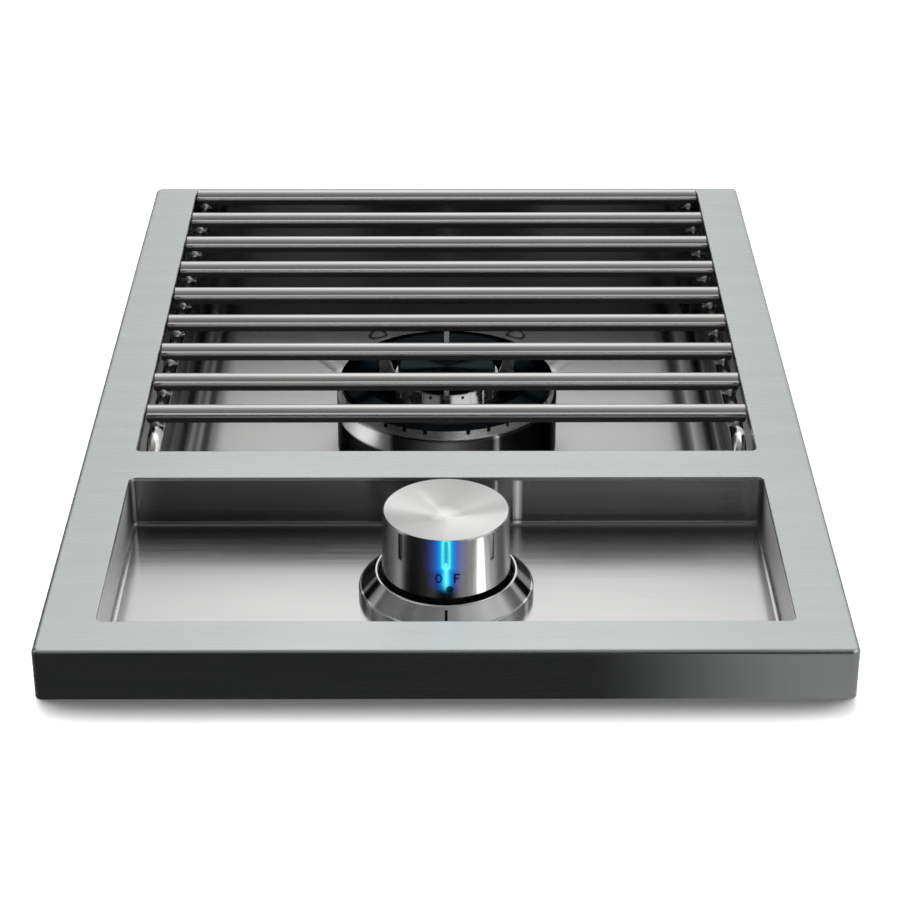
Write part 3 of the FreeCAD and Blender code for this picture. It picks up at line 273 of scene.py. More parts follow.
# grain round an upright axis
def turnedSteel(name, look, axis, bands=None, mark=None, glow=None):
    material, tree = newMaterial(name)
    place = addNode(tree, "ShaderNodeTexCoord").outputs["Object"]
    geometry = addNode(tree, "ShaderNodeNewGeometry").outputs
    spot = split(tree, vectorNode(tree, "SUBTRACT", place, (*axis, 0.0)))
    radius = lengthOf(tree, spot["X"], spot["Y"])
    safe = greatest(tree, radius, finish["coreRadius"])
    lines = joined(tree, product(tree, mathNode(tree, "DIVIDE", spot["X"], safe), look["around"]),
                   product(tree, mathNode(tree, "DIVIDE", spot["Y"], safe), look["around"]),
                   product(tree, mathNode(tree, "ADD", radius, spot["Z"]), look["grain"]))
    fine = noise(tree, lines, 1.0, 3.0, 0.6)
    cloud = noise(tree, place, finish["turnedCloud"])
    colour = shaded(tree, fine, look)
    rough = roughnessOf(tree, mingled(tree, fine, cloud, finish["fineShare"]), look)
    out = vectorNode(tree, "SUBTRACT", geometry["Position"], (*axis, 0.0))
    roundWay = vectorNode(tree, "CROSS_PRODUCT", (0.0, 0.0, 1.0), out)
    front = product(tree, spot["Y"], -1.0)
    turn = product(tree, mathNode(tree, "ARCTAN2", spot["X"], front), math.degrees(1.0))
    # bands paint reflections and shade into the colour
    if bands:
        colour = darkened(tree, bandShare(tree, bands, turn, radius, spot["Z"]), colour)
    sockets = {"Base Color": colour, "Metallic": 1.0, "Roughness": rough}
    if mark:
        sockets.update(inkedMark(tree, mark, spot, colour, rough))
    if glow:
        sockets.update(glow(tree, place, spot, radius, turn, colour))
    addGrained(tree, look, fine, across(tree, geometry["Normal"], roundWay), sockets)
    return material


# fine mottle on plain small parts: metal, plastic, rubber and ceramic
mottle = {"cloudShare": 0.12, "depth": 0.00005, "coatRoughness": 0.05}


def mottledSurface(name, look):
    material, tree = newMaterial(name)
    place = addNode(tree, "ShaderNodeTexCoord").outputs["Object"]
    fine = noise(tree, place, look["mottle"], 4.0, 0.6)
    cloud = noise(tree, place, look["mottle"] * mottle["cloudShare"], 3.0)
    mixed = mingled(tree, fine, cloud, 0.5)
    bump = addNode(tree, "ShaderNodeBump", {"Height": fine, "Strength": look["relief"],
                                            "Distance": mottle["depth"]})
    shader = addNode(tree, "ShaderNodeBsdfPrincipled", {
        "Base Color": shaded(tree, mixed, look), "Metallic": look["metal"],
        "Roughness": roughnessOf(tree, mixed, look), "Coat Weight": look.get("coat", 0.0),
        "Coat Roughness": mottle["coatRoughness"], "Normal": bump.outputs["Normal"]})
    addOutput(tree, shader.outputs[0])
    return material


# trim frame

frameSteel = {"colour": (0.585, 0.614, 0.605), "roughness": 0.24, "spread": 0.07, "anisotropy": 0.75,
              "grain": 900.0, "length": 14.0, "relief": 0.12, "shade": 0.14}
dress(brushedSteel("frameSteel", frameSteel), "top_frame")


# recess round the knob, with painted shade: its back wall darker, most to the left, and its floor darker near
# the back wall's foot and round the knob's stem; four numbers are from, to and the values there

recessSteel = {"colour": (0.72, 0.72, 0.715), "roughness": 0.19, "spread": 0.03, "anisotropy": 0.9,
               "grain": 600.0, "length": 8.0, "relief": 0.02, "shade": 0.05,
               "backFacing": (-0.9, -0.5, 1.0, 0.0), "backShadeKeep": (-0.12, 0.1, 0.33, 0.72),
               "footShadeKeep": (-0.112, -0.094, 1.0, 0.38), "stemShadeKeep": (0.0125, 0.0135, 0.02, 1.0),
               "sideFacing": (0.6, 0.95), "sideRough": 0.25}


def recessChanges(tree, look, spot, facing, rough):
    # painted shade, as a share of light kept on the back wall, near its foot and round the stem
    onBack = fromTo(tree, facing["Y"], *look["backFacing"])
    backLoss = mathNode(tree, "SUBTRACT", fromTo(tree, spot["X"], *look["backShadeKeep"]), 1.0)
    keep = mathNode(tree, "MULTIPLY_ADD", onBack, backLoss, 1.0)
    foot = fromTo(tree, spot["Y"], *look["footShadeKeep"])
    fromStem = vectorNode(tree, "DISTANCE", joined(tree, spot["X"], spot["Y"]), (*knobAxis, 0.0))
    keep = product(tree, keep, greatest(tree, foot, onBack), fromTo(tree, fromStem, *look["stemShadeKeep"]))
    sideways = fromTo(tree, mathNode(tree, "ABSOLUTE", facing["X"]), *look["sideFacing"])
    return keep, mathNode(tree, "MULTIPLY_ADD", sideways, look["sideRough"], rough), 1.0


dress(brushedSteel("recessSteel", recessSteel, recessChanges), "control_recess")


# burner well, with painted reflections: its side bends and walls keep a painted share of light by distance
# from the middle and by height

wellSteel = {"colour": (0.86, 0.86, 0.855), "roughness": 0.2, "spread": 0.04, "anisotropy": 0.5,
             "grain": 600.0, "length": 8.0, "relief": 0.02, "shade": 0.06,
             "sideFacing": (0.97, 0.995), "floorFacing": (0.6, 0.95), "floorRough": 0.3, "behind": 0.18}
# painted shade: the well's back wall is a dark copy of the well's steel
wellBackShadedSteel = {"colour": (0.12, 0.12, 0.122), "roughness": 0.24, "spread": 0.04, "anisotropy": 0.75,
                 "grain": 600.0, "length": 8.0, "relief": 0.02, "shade": 0.06}
leftBendReflections = ((0.104, 1.0), (0.108, 1.0), (0.111, 0.85), (0.1123, 0.7), (0.1136, 0.54), (0.115, 0.42),
             (0.1163, 0.16), (0.1177, 0.09), (0.1187, 0.15), (0.1198, 0.4), (0.1205, 0.44), (0.1213, 0.27),
             (0.1222, 0.25), (0.123, 0.42), (0.1239, 0.6), (0.1249, 0.44), (0.126, 0.3), (0.1272, 0.12),
             (0.1282, 0.045), (0.1292, 0.07), (0.13, 0.18), (0.1305, 0.6), (0.131, 0.5), (0.1312, 0.45))
rightBendReflections = ((0.104, 1.0), (0.108, 1.0), (0.1115, 0.75), (0.1131, 0.55), (0.1145, 0.21), (0.116, 0.1),
              (0.1175, 0.15), (0.1187, 0.3), (0.1197, 0.55), (0.1209, 1.0), (0.1241, 1.0), (0.125, 0.85),
              (0.1258, 0.45), (0.1268, 0.22), (0.128, 0.075), (0.129, 0.11), (0.1296, 0.9), (0.1302, 0.7),
              (0.1306, 0.2), (0.1312, 0.2))
wallReflectionBands = ((0.078, 0.25), (0.094, 0.22), (0.1, 0.3), (0.11, 0.32), (0.116, 0.12), (0.119, 0.04),
             (0.124, 0.2), (0.13, 0.5), (0.138, 0.3), (0.15, 0.2))
# painted shade of two pressed dimples in the well's floor behind the burner, which the shape doesn't have: a
# dark ring for each
dimpleShadeRing = {"at": (0.0364, 0.193), "radius": 0.0044, "ringShadeKeep": (0.00039, 0.0013, 0.2, 1.0)}


def wellChanges(tree, look, spot, facing, rough):
    # painted reflections: bands of light and shade across the side bends and up the walls
    left = levelCurve(tree, product(tree, spot["X"], -1.0), leftBendReflections)
    onBend = mathNode(tree, "MINIMUM", left, levelCurve(tree, spot["X"], rightBendReflections))
    sideways = fromTo(tree, mathNode(tree, "ABSOLUTE", facing["X"]), *look["sideFacing"])
    keep = blend(tree, sideways, onBend, levelCurve(tree, spot["Z"], wallReflectionBands))
    # painted shade: the dark ring round each dimple
    sideOut = mathNode(tree, "SUBTRACT", mathNode(tree, "ABSOLUTE", spot["X"]), dimpleShadeRing["at"][0])
    fromDimple = lengthOf(tree, sideOut, mathNode(tree, "SUBTRACT", spot["Y"], dimpleShadeRing["at"][1]))
    offRing = fromTo(tree, apart(tree, fromDimple, dimpleShadeRing["radius"]), *dimpleShadeRing["ringShadeKeep"])
    inFront = mathNode(tree, "LESS_THAN", spot["Y"], look["behind"])
    keep = product(tree, keep, greatest(tree, offRing, inFront))
    flat = fromTo(tree, facing["Z"], *look["floorFacing"])
    return keep, mathNode(tree, "MULTIPLY_ADD", flat, look["floorRough"], rough), 1.0


dress(brushedSteel("wellSteel", wellSteel, wellChanges), "burner_well", "well_front_wall", "grate_rests")
dress(brushedSteel("wellBackShadedSteel", wellBackShadedSteel), "well_back_wall")


# grate, with painted shade on the rods' undersides: darkened, dulled and not metal; the side bars below them
# aren't

rodSteel = {"colour": (0.76, 0.755, 0.745), "roughness": 0.13, "spread": 0.04, "anisotropy": 0.2,
            "edge": 0.4, "grain": 1400.0, "length": 18.0, "relief": 0.04, "shade": 0.08,
            "shadedUnderside": (0.1486, 0.1499, 1.0, 0.0), "barTop": 0.14505, "underShadeLoss": -0.95, "underRough": 0.8}
# painted highlight: the welds are a paler copy of the rods' steel
weldSteelPaintedBright = {"colour": (0.93, 0.925, 0.92), "roughness": 0.3, "spread": 0.08, "anisotropy": 0.0,
             "grain": 500.0, "length": 400.0, "relief": 0.1, "shade": 0.08}


def rodChanges(tree, look, spot, facing, rough):
    # painted shade on the rods' undersides
    under = product(tree, fromTo(tree, spot["Z"], *look["shadedUnderside"]),
                    mathNode(tree, "GREATER_THAN", spot["Z"], look["barTop"]))
    return (mathNode(tree, "MULTIPLY_ADD", under, look["underShadeLoss"], 1.0),
            mathNode(tree, "MULTIPLY_ADD", under, look["underRough"], rough),
            mathNode(tree, "SUBTRACT", 1.0, under))


rods = [name for name in nodes if name.startswith("grate_rod_")]
dress(brushedSteel("rodSteel", rodSteel, rodChanges), *rods, "grate_bar_left", "grate_bar_right")
weldMaterial = brushedSteel("weldSteelPaintedBright", weldSteelPaintedBright)


# casing and the sheet and tube parts inside it

casingSteel = {"colour": (0.50, 0.51, 0.52), "roughness": 0.34, "spread": 0.08, "anisotropy": 0.2,
               "grain": 260.0, "length": 60.0, "relief": 0.04, "shade": 0.16}
dress(brushedSteel("casingSteel", casingSteel), "casing_front", "casing_back", "casing_left", "casing_right",
      "casing_bottom", "heat_divider", "valve_bracket", "electrode_clip", "venturi_tube", "air_shutter",
      "gas_pipe")


# burner base with its ring, with painted reflections round it and painted shade at its foot on the left

baseLook = {"colour": (0.92, 0.925, 0.92), "roughness": 0.34, "spread": 0.02, "anisotropy": 0.3, "edge": 0.3,
            "grain": 900.0, "around": 4.0, "relief": 0.02, "shade": 0.04}
baseReflectionsAndShade = {"levels": ((-180, 0.2), (-95, 0.3), (-80, 0.6), (-66, 0.55), (-58, 0.7), (-42, 1.0),
                        (-38, 0.9), (-34, 0.6), (-30, 0.4), (-28, 0.03), (-24, 0.03), (-14, 0.09),
                        (-5, 0.18), (1, 0.25), (5, 0.2), (10, 0.12), (15, 0.08), (24, 0.05), (25.2, 0.2),
                        (26.5, 1.0), (27.8, 0.2), (29, 0.04), (45, 0.02), (90, 0.02), (180, 0.2)),
             "foot": (0.0957, 0.0975, 0.03, 1.0), "footUntil": -29.5}
dress(turnedSteel("burnerBaseSteel", baseLook, burnerAxis, bands=baseReflectionsAndShade), "burner_base")


# burner crowns and fins; the outer crown carries painted reflections round it

crownLook = {"colour": (0.93, 0.93, 0.925), "roughness": 0.3, "spread": 0.06, "anisotropy": 0.5,
             "grain": 1100.0, "around": 5.0, "relief": 0.08, "shade": 0.12}
crownReflectionBands = {"levels": ((-180, 0.7), (-60, 0.7), (-38, 0.6), (-27, 0.26), (-9, 0.21), (0, 0.48),
                         (6, 0.75), (13, 1.0), (32, 1.0), (45, 0.9), (180, 0.7))}
dress(turnedSteel("crownSteel", crownLook, burnerAxis, bands=crownReflectionBands), "burner_crown")
dress(turnedSteel("innerCrownSteel", crownLook, burnerAxis), "inner_crown", "burner_fins")


# burner caps: spun at the centre, enamelled round it; the spun cap carries a painted bow-tie reflection

spunCapLook = {"colour": (0.05, 0.06, 0.066), "roughness": 0.24, "spread": 0.02, "anisotropy": 0.95,
               "edge": 0.4, "grain": 900.0, "around": 3.0, "relief": 0.01, "shade": 0.1}
innerCapReflectionBands = {"levels": ((-180, 0.1), (-130, 0.2), (-112, 0.9), (-88, 1.0), (-72, 0.3), (-40, 0.12),
                            (0, 0.08), (40, 0.12), (70, 0.35), (88, 1.0), (105, 0.9), (125, 0.2),
                            (180, 0.1))}
enamelLook = {"colour": (0.009, 0.012, 0.014), "roughness": 0.16, "spread": 0.04, "anisotropy": 0.1,
              "edge": 0.43, "grain": 260.0, "around": 6.0, "relief": 0.02, "shade": 0.3}
dress(turnedSteel("spunCapSteel", spunCapLook, burnerAxis, bands=innerCapReflectionBands), "inner_cap")
dress(turnedSteel("blackEnamel", enamelLook, burnerAxis), "burner_cap")


# bezel round the knob, with painted reflections and shade round it and an index line at the front

chromeLook = {"colour": (0.92, 0.925, 0.93), "roughness": 0.28, "spread": 0.02, "anisotropy": 0.15,
              "edge": 0.4, "grain": 900.0, "around": 3.0, "relief": 0.02, "shade": 0.03}
bezelReflectionBands = {"levels": ((-180, 0.05), (-110, 0.03), (-95, 0.05), (-85, 0.1), (-79.5, 0.1), (-77, 1.0),
                         (-74.5, 0.6), (-72.5, 0.04), (-69, 0.02), (-66, 0.3), (-62, 1.0), (-58, 0.9),
                         (-53, 0.2), (-46, 0.22), (-38, 0.5), (-28, 0.85), (-8, 0.85), (0, 0.85),
                         (8, 0.72), (14, 0.6), (20, 0.5), (30, 0.48), (40, 0.42), (46, 0.48), (50, 0.36),
                         (58, 0.28), (62, 0.4), (66, 1.0), (69, 0.4), (71.5, 0.03), (76.5, 0.01),
                         (79.5, 0.5), (82, 1.0), (87, 1.0), (90, 0.6), (95, 0.15), (110, 0.05),
                         (180, 0.05)),
              "within": (0.0282, 0.0339), "outside": 0.4}
bezelMark = {"half": 0.00056, "near": 0.0293, "paint": (0.004, 0.004, 0.004), "roughness": 0.6}
dress(turnedSteel("bezelChrome", chromeLook, knobAxis, bands=bezelReflectionBands, mark=bezelMark), "bezel")


# glow of the knob's lit slot, painted as emission: a bright rim, a halo painted on the metal round it and a
# tail painted below it

slotLight = {"halfWidth": 0.0011, "reach": 0.0096, "tailLow": 0.1444, "tailHigh": 0.1545,
             "tailFade": (0.1412, 0.1472), "front": -0.015, "barrel": 0.02445,
             "rim": ((0.0, (0.01, 0.36, 0.48)), (0.0006, (0.02, 0.5, 0.66)), (0.00095, (0.16, 0.95, 1.0)),
                     (0.0014, (0.14, 0.92, 1.0)), (0.0019, (0.01, 0.5, 0.85)), (0.0026, (0.0, 0.27, 0.74)),
                     (0.0036, (0.0, 0.12, 0.55)), (0.0048, (0.0, 0.045, 0.3)), (0.006, (0.0, 0.016, 0.14)),
                     (0.0076, (0.0, 0.004, 0.045)), (0.0096, (0.0, 0.0, 0.0))),
             "tail": ((0.0, (0.2, 0.97, 1.0)), (0.0006, (0.1, 0.82, 1.0)), (0.0013, (0.01, 0.45, 0.8)),
                      (0.0022, (0.0, 0.17, 0.55)), (0.0032, (0.0, 0.05, 0.3)), (0.0043, (0.0, 0.018, 0.19)),
                      (0.0058, (0.0, 0.004, 0.07)), (0.0076, (0.0, 0.0, 0.0)))}


def slotGlow(tree, place):
    low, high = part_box("knob_light_bars")
    spot = split(tree, vectorNode(tree, "SUBTRACT", place, (*knobAxis, 0.0)))

    def awayFrom(bottom, top):
        inside = mathNode(tree, "MINIMUM", greatest(tree, spot["Z"], bottom), top)
        return lengthOf(tree, spot["X"], mathNode(tree, "SUBTRACT", spot["Z"], inside))

    def ramp(distance, colours):
        share = mathNode(tree, "DIVIDE", distance, slotLight["reach"])
        node = addNode(tree, "ShaderNodeValToRGB", {"Fac": share})
        stops = node.color_ramp.elements
        for number, (at, colour) in enumerate(colours):
            stop = stops[number] if number < 2 else stops.new(1.0)
            stop.position = at / slotLight["reach"]
            stop.color = (*colour, 1.0)
        return node.outputs["Color"]

    rim = ramp(awayFrom(low.z + slotLight["halfWidth"], high.z), slotLight["rim"])
    tail = ramp(awayFrom(slotLight["tailLow"], slotLight["tailHigh"]), slotLight["tail"])
    faded = darkened(tree, fromTo(tree, spot["Z"], *slotLight["tailFade"]), tail)
    light = addNode(tree, "ShaderNodeMix", {"Factor": 1.0, 6: rim, 7: faded}, data_type="RGBA",
                    blend_type="LIGHTEN").outputs[2]
    return light, mathNode(tree, "LESS_THAN", spot["Y"], slotLight["front"])


# clear bars in the knob's slots: the front one is lit, the others are dark at the left and painted pale at
# the right as a painted highlight

lightBar = {"clear": (0.006, 0.007, 0.009), "paintedPale": (0.45, 0.45, 0.46), "paintedPaleFrom": (0.008, 0.014),
            "roughness": 0.12, "ripple": 900.0, "rippled": (0.2, 0.8, 0.9, 1.1)}


def slotBars(name, look):
    material, tree = newMaterial(name)
    place = addNode(tree, "ShaderNodeTexCoord").outputs["Object"]
    light, onFront = slotGlow(tree, place)
    spot = split(tree, place)
    inSlot = mathNode(tree, "LESS_THAN", apart(tree, spot["X"], knobAxis[0]), slotLight["halfWidth"] * 2)
    ripple = fromTo(tree, noise(tree, place, look["ripple"]), *look["rippled"])
    colour = tint(tree, fromTo(tree, spot["X"], *look["paintedPaleFrom"]), look["clear"], look["paintedPale"])
    shader = addNode(tree, "ShaderNodeBsdfPrincipled", {
        "Base Color": colour, "Roughness": look["roughness"], "Emission Color": light,
        "Emission Strength": product(tree, onFront, inSlot, ripple)})
    addOutput(tree, shader.outputs[0])
    return material


dress(slotBars("lightBars", lightBar), "knob_light_bars")


# knob: printed word and dot on its barrel, painted reflections and shade on its top and its barrel, and the
# slot's painted glow on the metal

knobSteel = {"colour": (0.93, 0.93, 0.92), "roughness": 0.2, "spread": 0.03, "anisotropy": 0.9,
             "grain": 1500.0, "around": 2.0, "relief": 0.03, "shade": 0.04,
             "topCentreHighlight": (0.0, 0.012, 0.92, 0.4), "haloWidth": (0.0016, 0.0066, 1.0, 0.0),
             "haloLoss": -0.9, "inkLoss": -0.85}
# each stroke is left, right, bottom and top; the outshone ones don't dim the glow
knobPrint = {"strokes": ((0.0030, 0.0037, 0.1467, 0.1507), (0.0036, 0.0054, 0.1500, 0.1507),
                         (0.0036, 0.0050, 0.1483, 0.1489)),
             "outshone": ((-0.0007, -0.0001, 0.1467, 0.1507), (-0.0002, 0.0012, 0.1500, 0.1507),
                          (-0.0002, 0.0010, 0.1483, 0.1489)),
             "ringAt": (-0.0029, 0.14870), "ringHalf": (0.00135, 0.00205), "ringThin": 0.42,
             "dotAt": (0.0014, 0.1440), "dotHalf": 0.0014, "front": -0.02, "ink": (0.0, 0.0, 0.004)}
# painted reflections: shares of light kept by degrees from the front on the top and on the barrel
topReflectionBands = ((-180, 0.52), (-160, 0.58), (-140, 0.64), (-120, 0.7), (-105, 0.75), (-96, 0.7), (-88, 0.62),
            (-70, 0.6), (-50, 0.66), (-30, 0.73), (-10, 0.85), (10, 0.97), (40, 0.98), (65, 1.0),
            (80, 0.95), (92, 0.7), (105, 0.6), (120, 0.64), (140, 0.6), (165, 0.53), (180, 0.52))
barrelReflectionBands = ((-180, 0.2), (-95, 0.1), (-78, 0.15), (-66, 0.33), (-58, 0.47), (-52, 0.42), (-46, 0.48),
               (-41, 0.36), (-36, 0.16), (-30, 0.065), (-24, 0.11), (-18, 0.15), (-12, 0.13), (-6, 0.22),
               (6, 0.38), (18, 0.46), (23, 0.62), (30, 0.46), (38, 0.48), (44, 0.5), (50, 0.43), (60, 0.3),
               (66, 0.4), (72, 0.45), (80, 0.32), (90, 0.2), (180, 0.2))


def printedWord(tree, spot):
    def between(value, low, high):
        return product(tree, mathNode(tree, "GREATER_THAN", value, low),
                       mathNode(tree, "LESS_THAN", value, high))

    def stroked(strokes):
        return greatest(tree, *(product(tree, between(spot["X"], left, right), between(spot["Z"], low, high))
                                for left, right, low, high in strokes))

    def offsetsFrom(middles):
        return [mathNode(tree, "SUBTRACT", spot[way], middle) for way, middle in zip("XZ", middles)]

    ringOffsets = [mathNode(tree, "DIVIDE", offset, half) for offset, half in
                   zip(offsetsFrom(knobPrint["ringAt"]), knobPrint["ringHalf"])]
    ring = between(lengthOf(tree, *ringOffsets), 1 - knobPrint["ringThin"], 1.0)
    dot = mathNode(tree, "LESS_THAN", lengthOf(tree, *offsetsFrom(knobPrint["dotAt"])), knobPrint["dotHalf"])
    inked = greatest(tree, stroked(knobPrint["strokes"]), ring, dot)
    onFront = mathNode(tree, "LESS_THAN", spot["Y"], knobPrint["front"])
    everyStroke = greatest(tree, inked, stroked(knobPrint["outshone"]))
    return product(tree, everyStroke, onFront), product(tree, inked, onFront)


def knobPaintedLight(tree, place, spot, radius, turn, colour):
    light, onFront = slotGlow(tree, place)
    onBarrel = mathNode(tree, "GREATER_THAN", radius, slotLight["barrel"])
    inked, shading = printedWord(tree, spot)
    # painted highlight at the top's centre
    onTop = greatest(tree, levelCurve(tree, turn, topReflectionBands), fromTo(tree, radius, *knobSteel["topCentreHighlight"]))
    keep = blend(tree, onBarrel, onTop, levelCurve(tree, turn, barrelReflectionBands))
    # painted shade on the metal next to the lit slot, under the painted glow
    nearSlot = fromTo(tree, mathNode(tree, "ABSOLUTE", spot["X"]), *knobSteel["haloWidth"])
    haloed = product(tree, onFront, onBarrel, nearSlot)
    keep = product(tree, keep, mathNode(tree, "MULTIPLY_ADD", haloed, knobSteel["haloLoss"], 1.0))
    unprinted = mathNode(tree, "MULTIPLY_ADD", shading, knobSteel["inkLoss"], 1.0)
    return {"Base Color": tint(tree, inked, darkened(tree, keep, colour), knobPrint["ink"]),
            "Emission Color": light, "Emission Strength": product(tree, onFront, onBarrel, unprinted)}


dress(turnedSteel("knobSteel", knobSteel, knobAxis, glow=knobPaintedLight), "knob_body")


# plain small parts

brassLook = {"colour": (0.72, 0.52, 0.24), "metal": 1.0, "roughness": 0.24, "spread": 0.08, "mottle": 300.0,
             "relief": 0.08, "shade": 0.12}
ceramicLook = {"colour": (0.82, 0.80, 0.76), "metal": 0.0, "roughness": 0.18, "spread": 0.05, "mottle": 180.0,
               "relief": 0.03, "shade": 0.05, "coat": 0.3}
platedLook = {"colour": (0.60, 0.60, 0.60), "metal": 1.0, "roughness": 0.2, "spread": 0.08, "mottle": 400.0,
              "relief": 0.05, "shade": 0.08}
castLook = {"colour": (0.56, 0.56, 0.57), "metal": 1.0, "roughness": 0.48, "spread": 0.1, "mottle": 900.0,
            "relief": 0.4, "shade": 0.1}
blackPlasticLook = {"colour": (0.02, 0.02, 0.021), "metal": 0.0, "roughness": 0.5, "spread": 0.08,
                    "mottle": 1500.0, "relief": 0.25, "shade": 0.2}
rubberLook = {"colour": (0.03, 0.03, 0.031), "metal": 0.0, "roughness": 0.6, "spread": 0.1, "mottle": 900.0,
              "relief": 0.2, "shade": 0.2}
boardLook = {"colour": (0.03, 0.16, 0.07), "metal": 0.0, "roughness": 0.35, "spread": 0.1, "mottle": 500.0,
             "relief": 0.1, "shade": 0.3, "coat": 0.3}
# painted shade: the light ring is near-black, for the dark gap between the knob and the bezel
shadedRingLook = {"colour": (0.003, 0.003, 0.004), "metal": 1.0, "roughness": 0.7, "spread": 0.08, "mottle": 300.0,
            "relief": 0.05, "shade": 0.2}
platedMaterial = mottledSurface("platedSteel", platedLook)
dress(mottledSurface("brass", brassLook), "jet_nozzle", "valve_nut", "inlet_fitting", "inlet_locknut",
      "valve_plug")
dress(mottledSurface("glazedCeramic", ceramicLook), "electrode_ceramic")
dress(platedMaterial, "electrode_pin", "valve_stem", "return_spring", "casing_screws")
dress(mottledSurface("castAluminium", castLook), "valve_body")
dress(mottledSurface("blackPlastic", blackPlasticLook), "spark_module", "power_socket")
dress(mottledSurface("siliconeRubber", rubberLook), "igniter_lead", "led_lead")
dress(mottledSurface("circuitBoard", boardLook), "led_board")
dress(mottledSurface("lightRingShadedBlack", shadedRingLook), "light_ring")
print("materials done")


# pieces with a mesh of their own: tubes of small loops of points

def meshPiece(name, mesh, material, body):
    bmesh.ops.recalc_face_normals(mesh, faces=mesh.faces)
    data = bpy.data.meshes.new(name)
    mesh.to_mesh(data)
    mesh.free()
    piece = bpy.data.objects.new(name, data)
    bpy.context.scene.collection.objects.link(piece)
    data.materials.append(material)
    for face in data.polygons:
        face.use_smooth = True
    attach(piece, body)
    return piece


def skinLoops(mesh, loops):
    for loop, after in zip(loops, loops[1:]):
        for number in range(len(loop)):
            following = (number + 1) % len(loop)
            mesh.faces.new((loop[number], after[number], after[following], loop[following]))


# small welds between each rod and the side bar under it

weld = {"ring": 0.0026, "thick": 0.0009, "ringSteps": 20, "tubeSteps": 8, "lump": 0.18, "lumps": 5,
        "rodShift": 1.7, "barShift": 40, "rodWidth": 0.008, "barWidth": 0.0065}


def addWelds():
    mesh = bmesh.new()
    for barName in ("grate_bar_left", "grate_bar_right"):
        barX = middleOf(barName)[0]
        for count, rodName in enumerate(sorted(rods)):
            centre = Vector((barX, middleOf(rodName)[1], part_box(rodName)[0].z))
            loops = []
            for step in range(weld["ringSteps"]):
                angle = 2 * math.pi * step / weld["ringSteps"]
                sine, cosine = math.sin(angle), math.cos(angle)
                way = Vector((cosine, sine, 0))
                shift = count * weld["rodShift"] + barX * weld["barShift"]
                thick = weld["thick"] * (1 + weld["lump"] * math.sin(weld["lumps"] * angle + shift))
                # the ring follows the saddle between the two round bars
                saddle = sine ** 2 / weld["rodWidth"] - cosine ** 2 / weld["barWidth"]
                loop = []
                for turn in range(weld["tubeSteps"]):
                    tubeAngle = 2 * math.pi * turn / weld["tubeSteps"]
                    out = weld["ring"] + thick * math.cos(tubeAngle)
                    rise = Vector((0, 0, out * out * saddle + thick * math.sin(tubeAngle)))
                    loop.append(mesh.verts.new(centre + way * out + rise))
                loops.append(loop)
            skinLoops(mesh, (*loops, loops[0]))
    return meshPiece("grateWelds", mesh, weldMaterial, "grate")


welds = addWelds()
print("welds done")


# coil spring round the stem, in place of the frame's return spring

coil = {"turns": 6, "wire": 0.0005, "ringSteps": 24, "tubeSteps": 8, "pressed": 0.79}


def addSpring():
    low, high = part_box("return_spring")
    foot = Vector((*middleOf("return_spring"), low.z))
    wire, steps = coil["wire"], coil["turns"] * coil["ringSteps"]
    mesh = bmesh.new()
    loops = []
    for step in range(steps + 1):
        angle = 2 * math.pi * step / coil["ringSteps"]
        way = Vector((math.cos(angle), math.sin(angle), 0))
        centre = foot + way * ((high.x - low.x) / 2 - wire)
        centre.z += wire + (high.z - low.z - 2 * wire) * step / steps
        loop = []
        for turn in range(coil["tubeSteps"]):
            tubeAngle = 2 * math.pi * turn / coil["tubeSteps"]
            outward = way * math.cos(tubeAngle) + Vector((0, 0, math.sin(tubeAngle)))
            loop.append(mesh.verts.new(centre + wire * outward))
        loops.append(loop)
    skinLoops(mesh, loops)
    mesh.faces.new(loops[0])
    mesh.faces.new(loops[-1])
    spring = meshPiece("returnSpring", mesh, platedMaterial, "frame")
    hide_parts("return_spring")
    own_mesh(spring)


addSpring()
print("spring done")


# counter round the cut-out; metal mirrors it darker in front than behind and at the right

counter = {"reach": 4.0, "holeX": 0.1425, "holeFront": -0.2145, "holeBack": 0.2212, "white": 0.93,
           "mirrorBack": (-0.2, 0.6, 0.028, 0.45), "mirrorRight": (0.05, 0.15, 0.0, 0.3)}


def addCounter():
    mesh = bmesh.new()

    def corners(side, front, back):
        return [mesh.verts.new((x, y, counterZ)) for x, y in ((-side, front), (side, front), (side, back),
                                                              (-side, back))]

    outer = corners(counter["reach"], -counter["reach"], counter["reach"])
    inner = corners(counter["holeX"], counter["holeFront"], counter["holeBack"])
    for side in range(4):
        following = (side + 1) % 4
        mesh.faces.new((outer[side], outer[following], inner[following], inner[side]))
    data = bpy.data.meshes.new("counterTop")
    mesh.to_mesh(data)
    mesh.free()
    top = bpy.data.objects.new("counterTop", data)
    bpy.context.scene.collection.objects.link(top)
    material, tree = newMaterial("counterWhite")
    spot = split(tree, addNode(tree, "ShaderNodeNewGeometry").outputs["Position"])
    white = addNode(tree, "ShaderNodeBsdfDiffuse", {"Color": (counter["white"],) * 3 + (1,)}).outputs[0]
    level = mathNode(tree, "ADD", fromTo(tree, spot["Y"], *counter["mirrorBack"]),
                     fromTo(tree, spot["X"], *counter["mirrorRight"]))
    mirrored = addNode(tree, "ShaderNodeEmission", {"Color": (1, 1, 1, 1), "Strength": level}).outputs[0]
    glossy = addNode(tree, "ShaderNodeLightPath").outputs["Is Glossy Ray"]
    addOutput(tree, addNode(tree, "ShaderNodeMixShader", {0: glossy, 1: white, 2: mirrored}).outputs[0])
    data.materials.append(material)
    top.visible_shadow = False


# studio world: white to the camera, light mostly from behind for matt surfaces, panels for metal to mirror

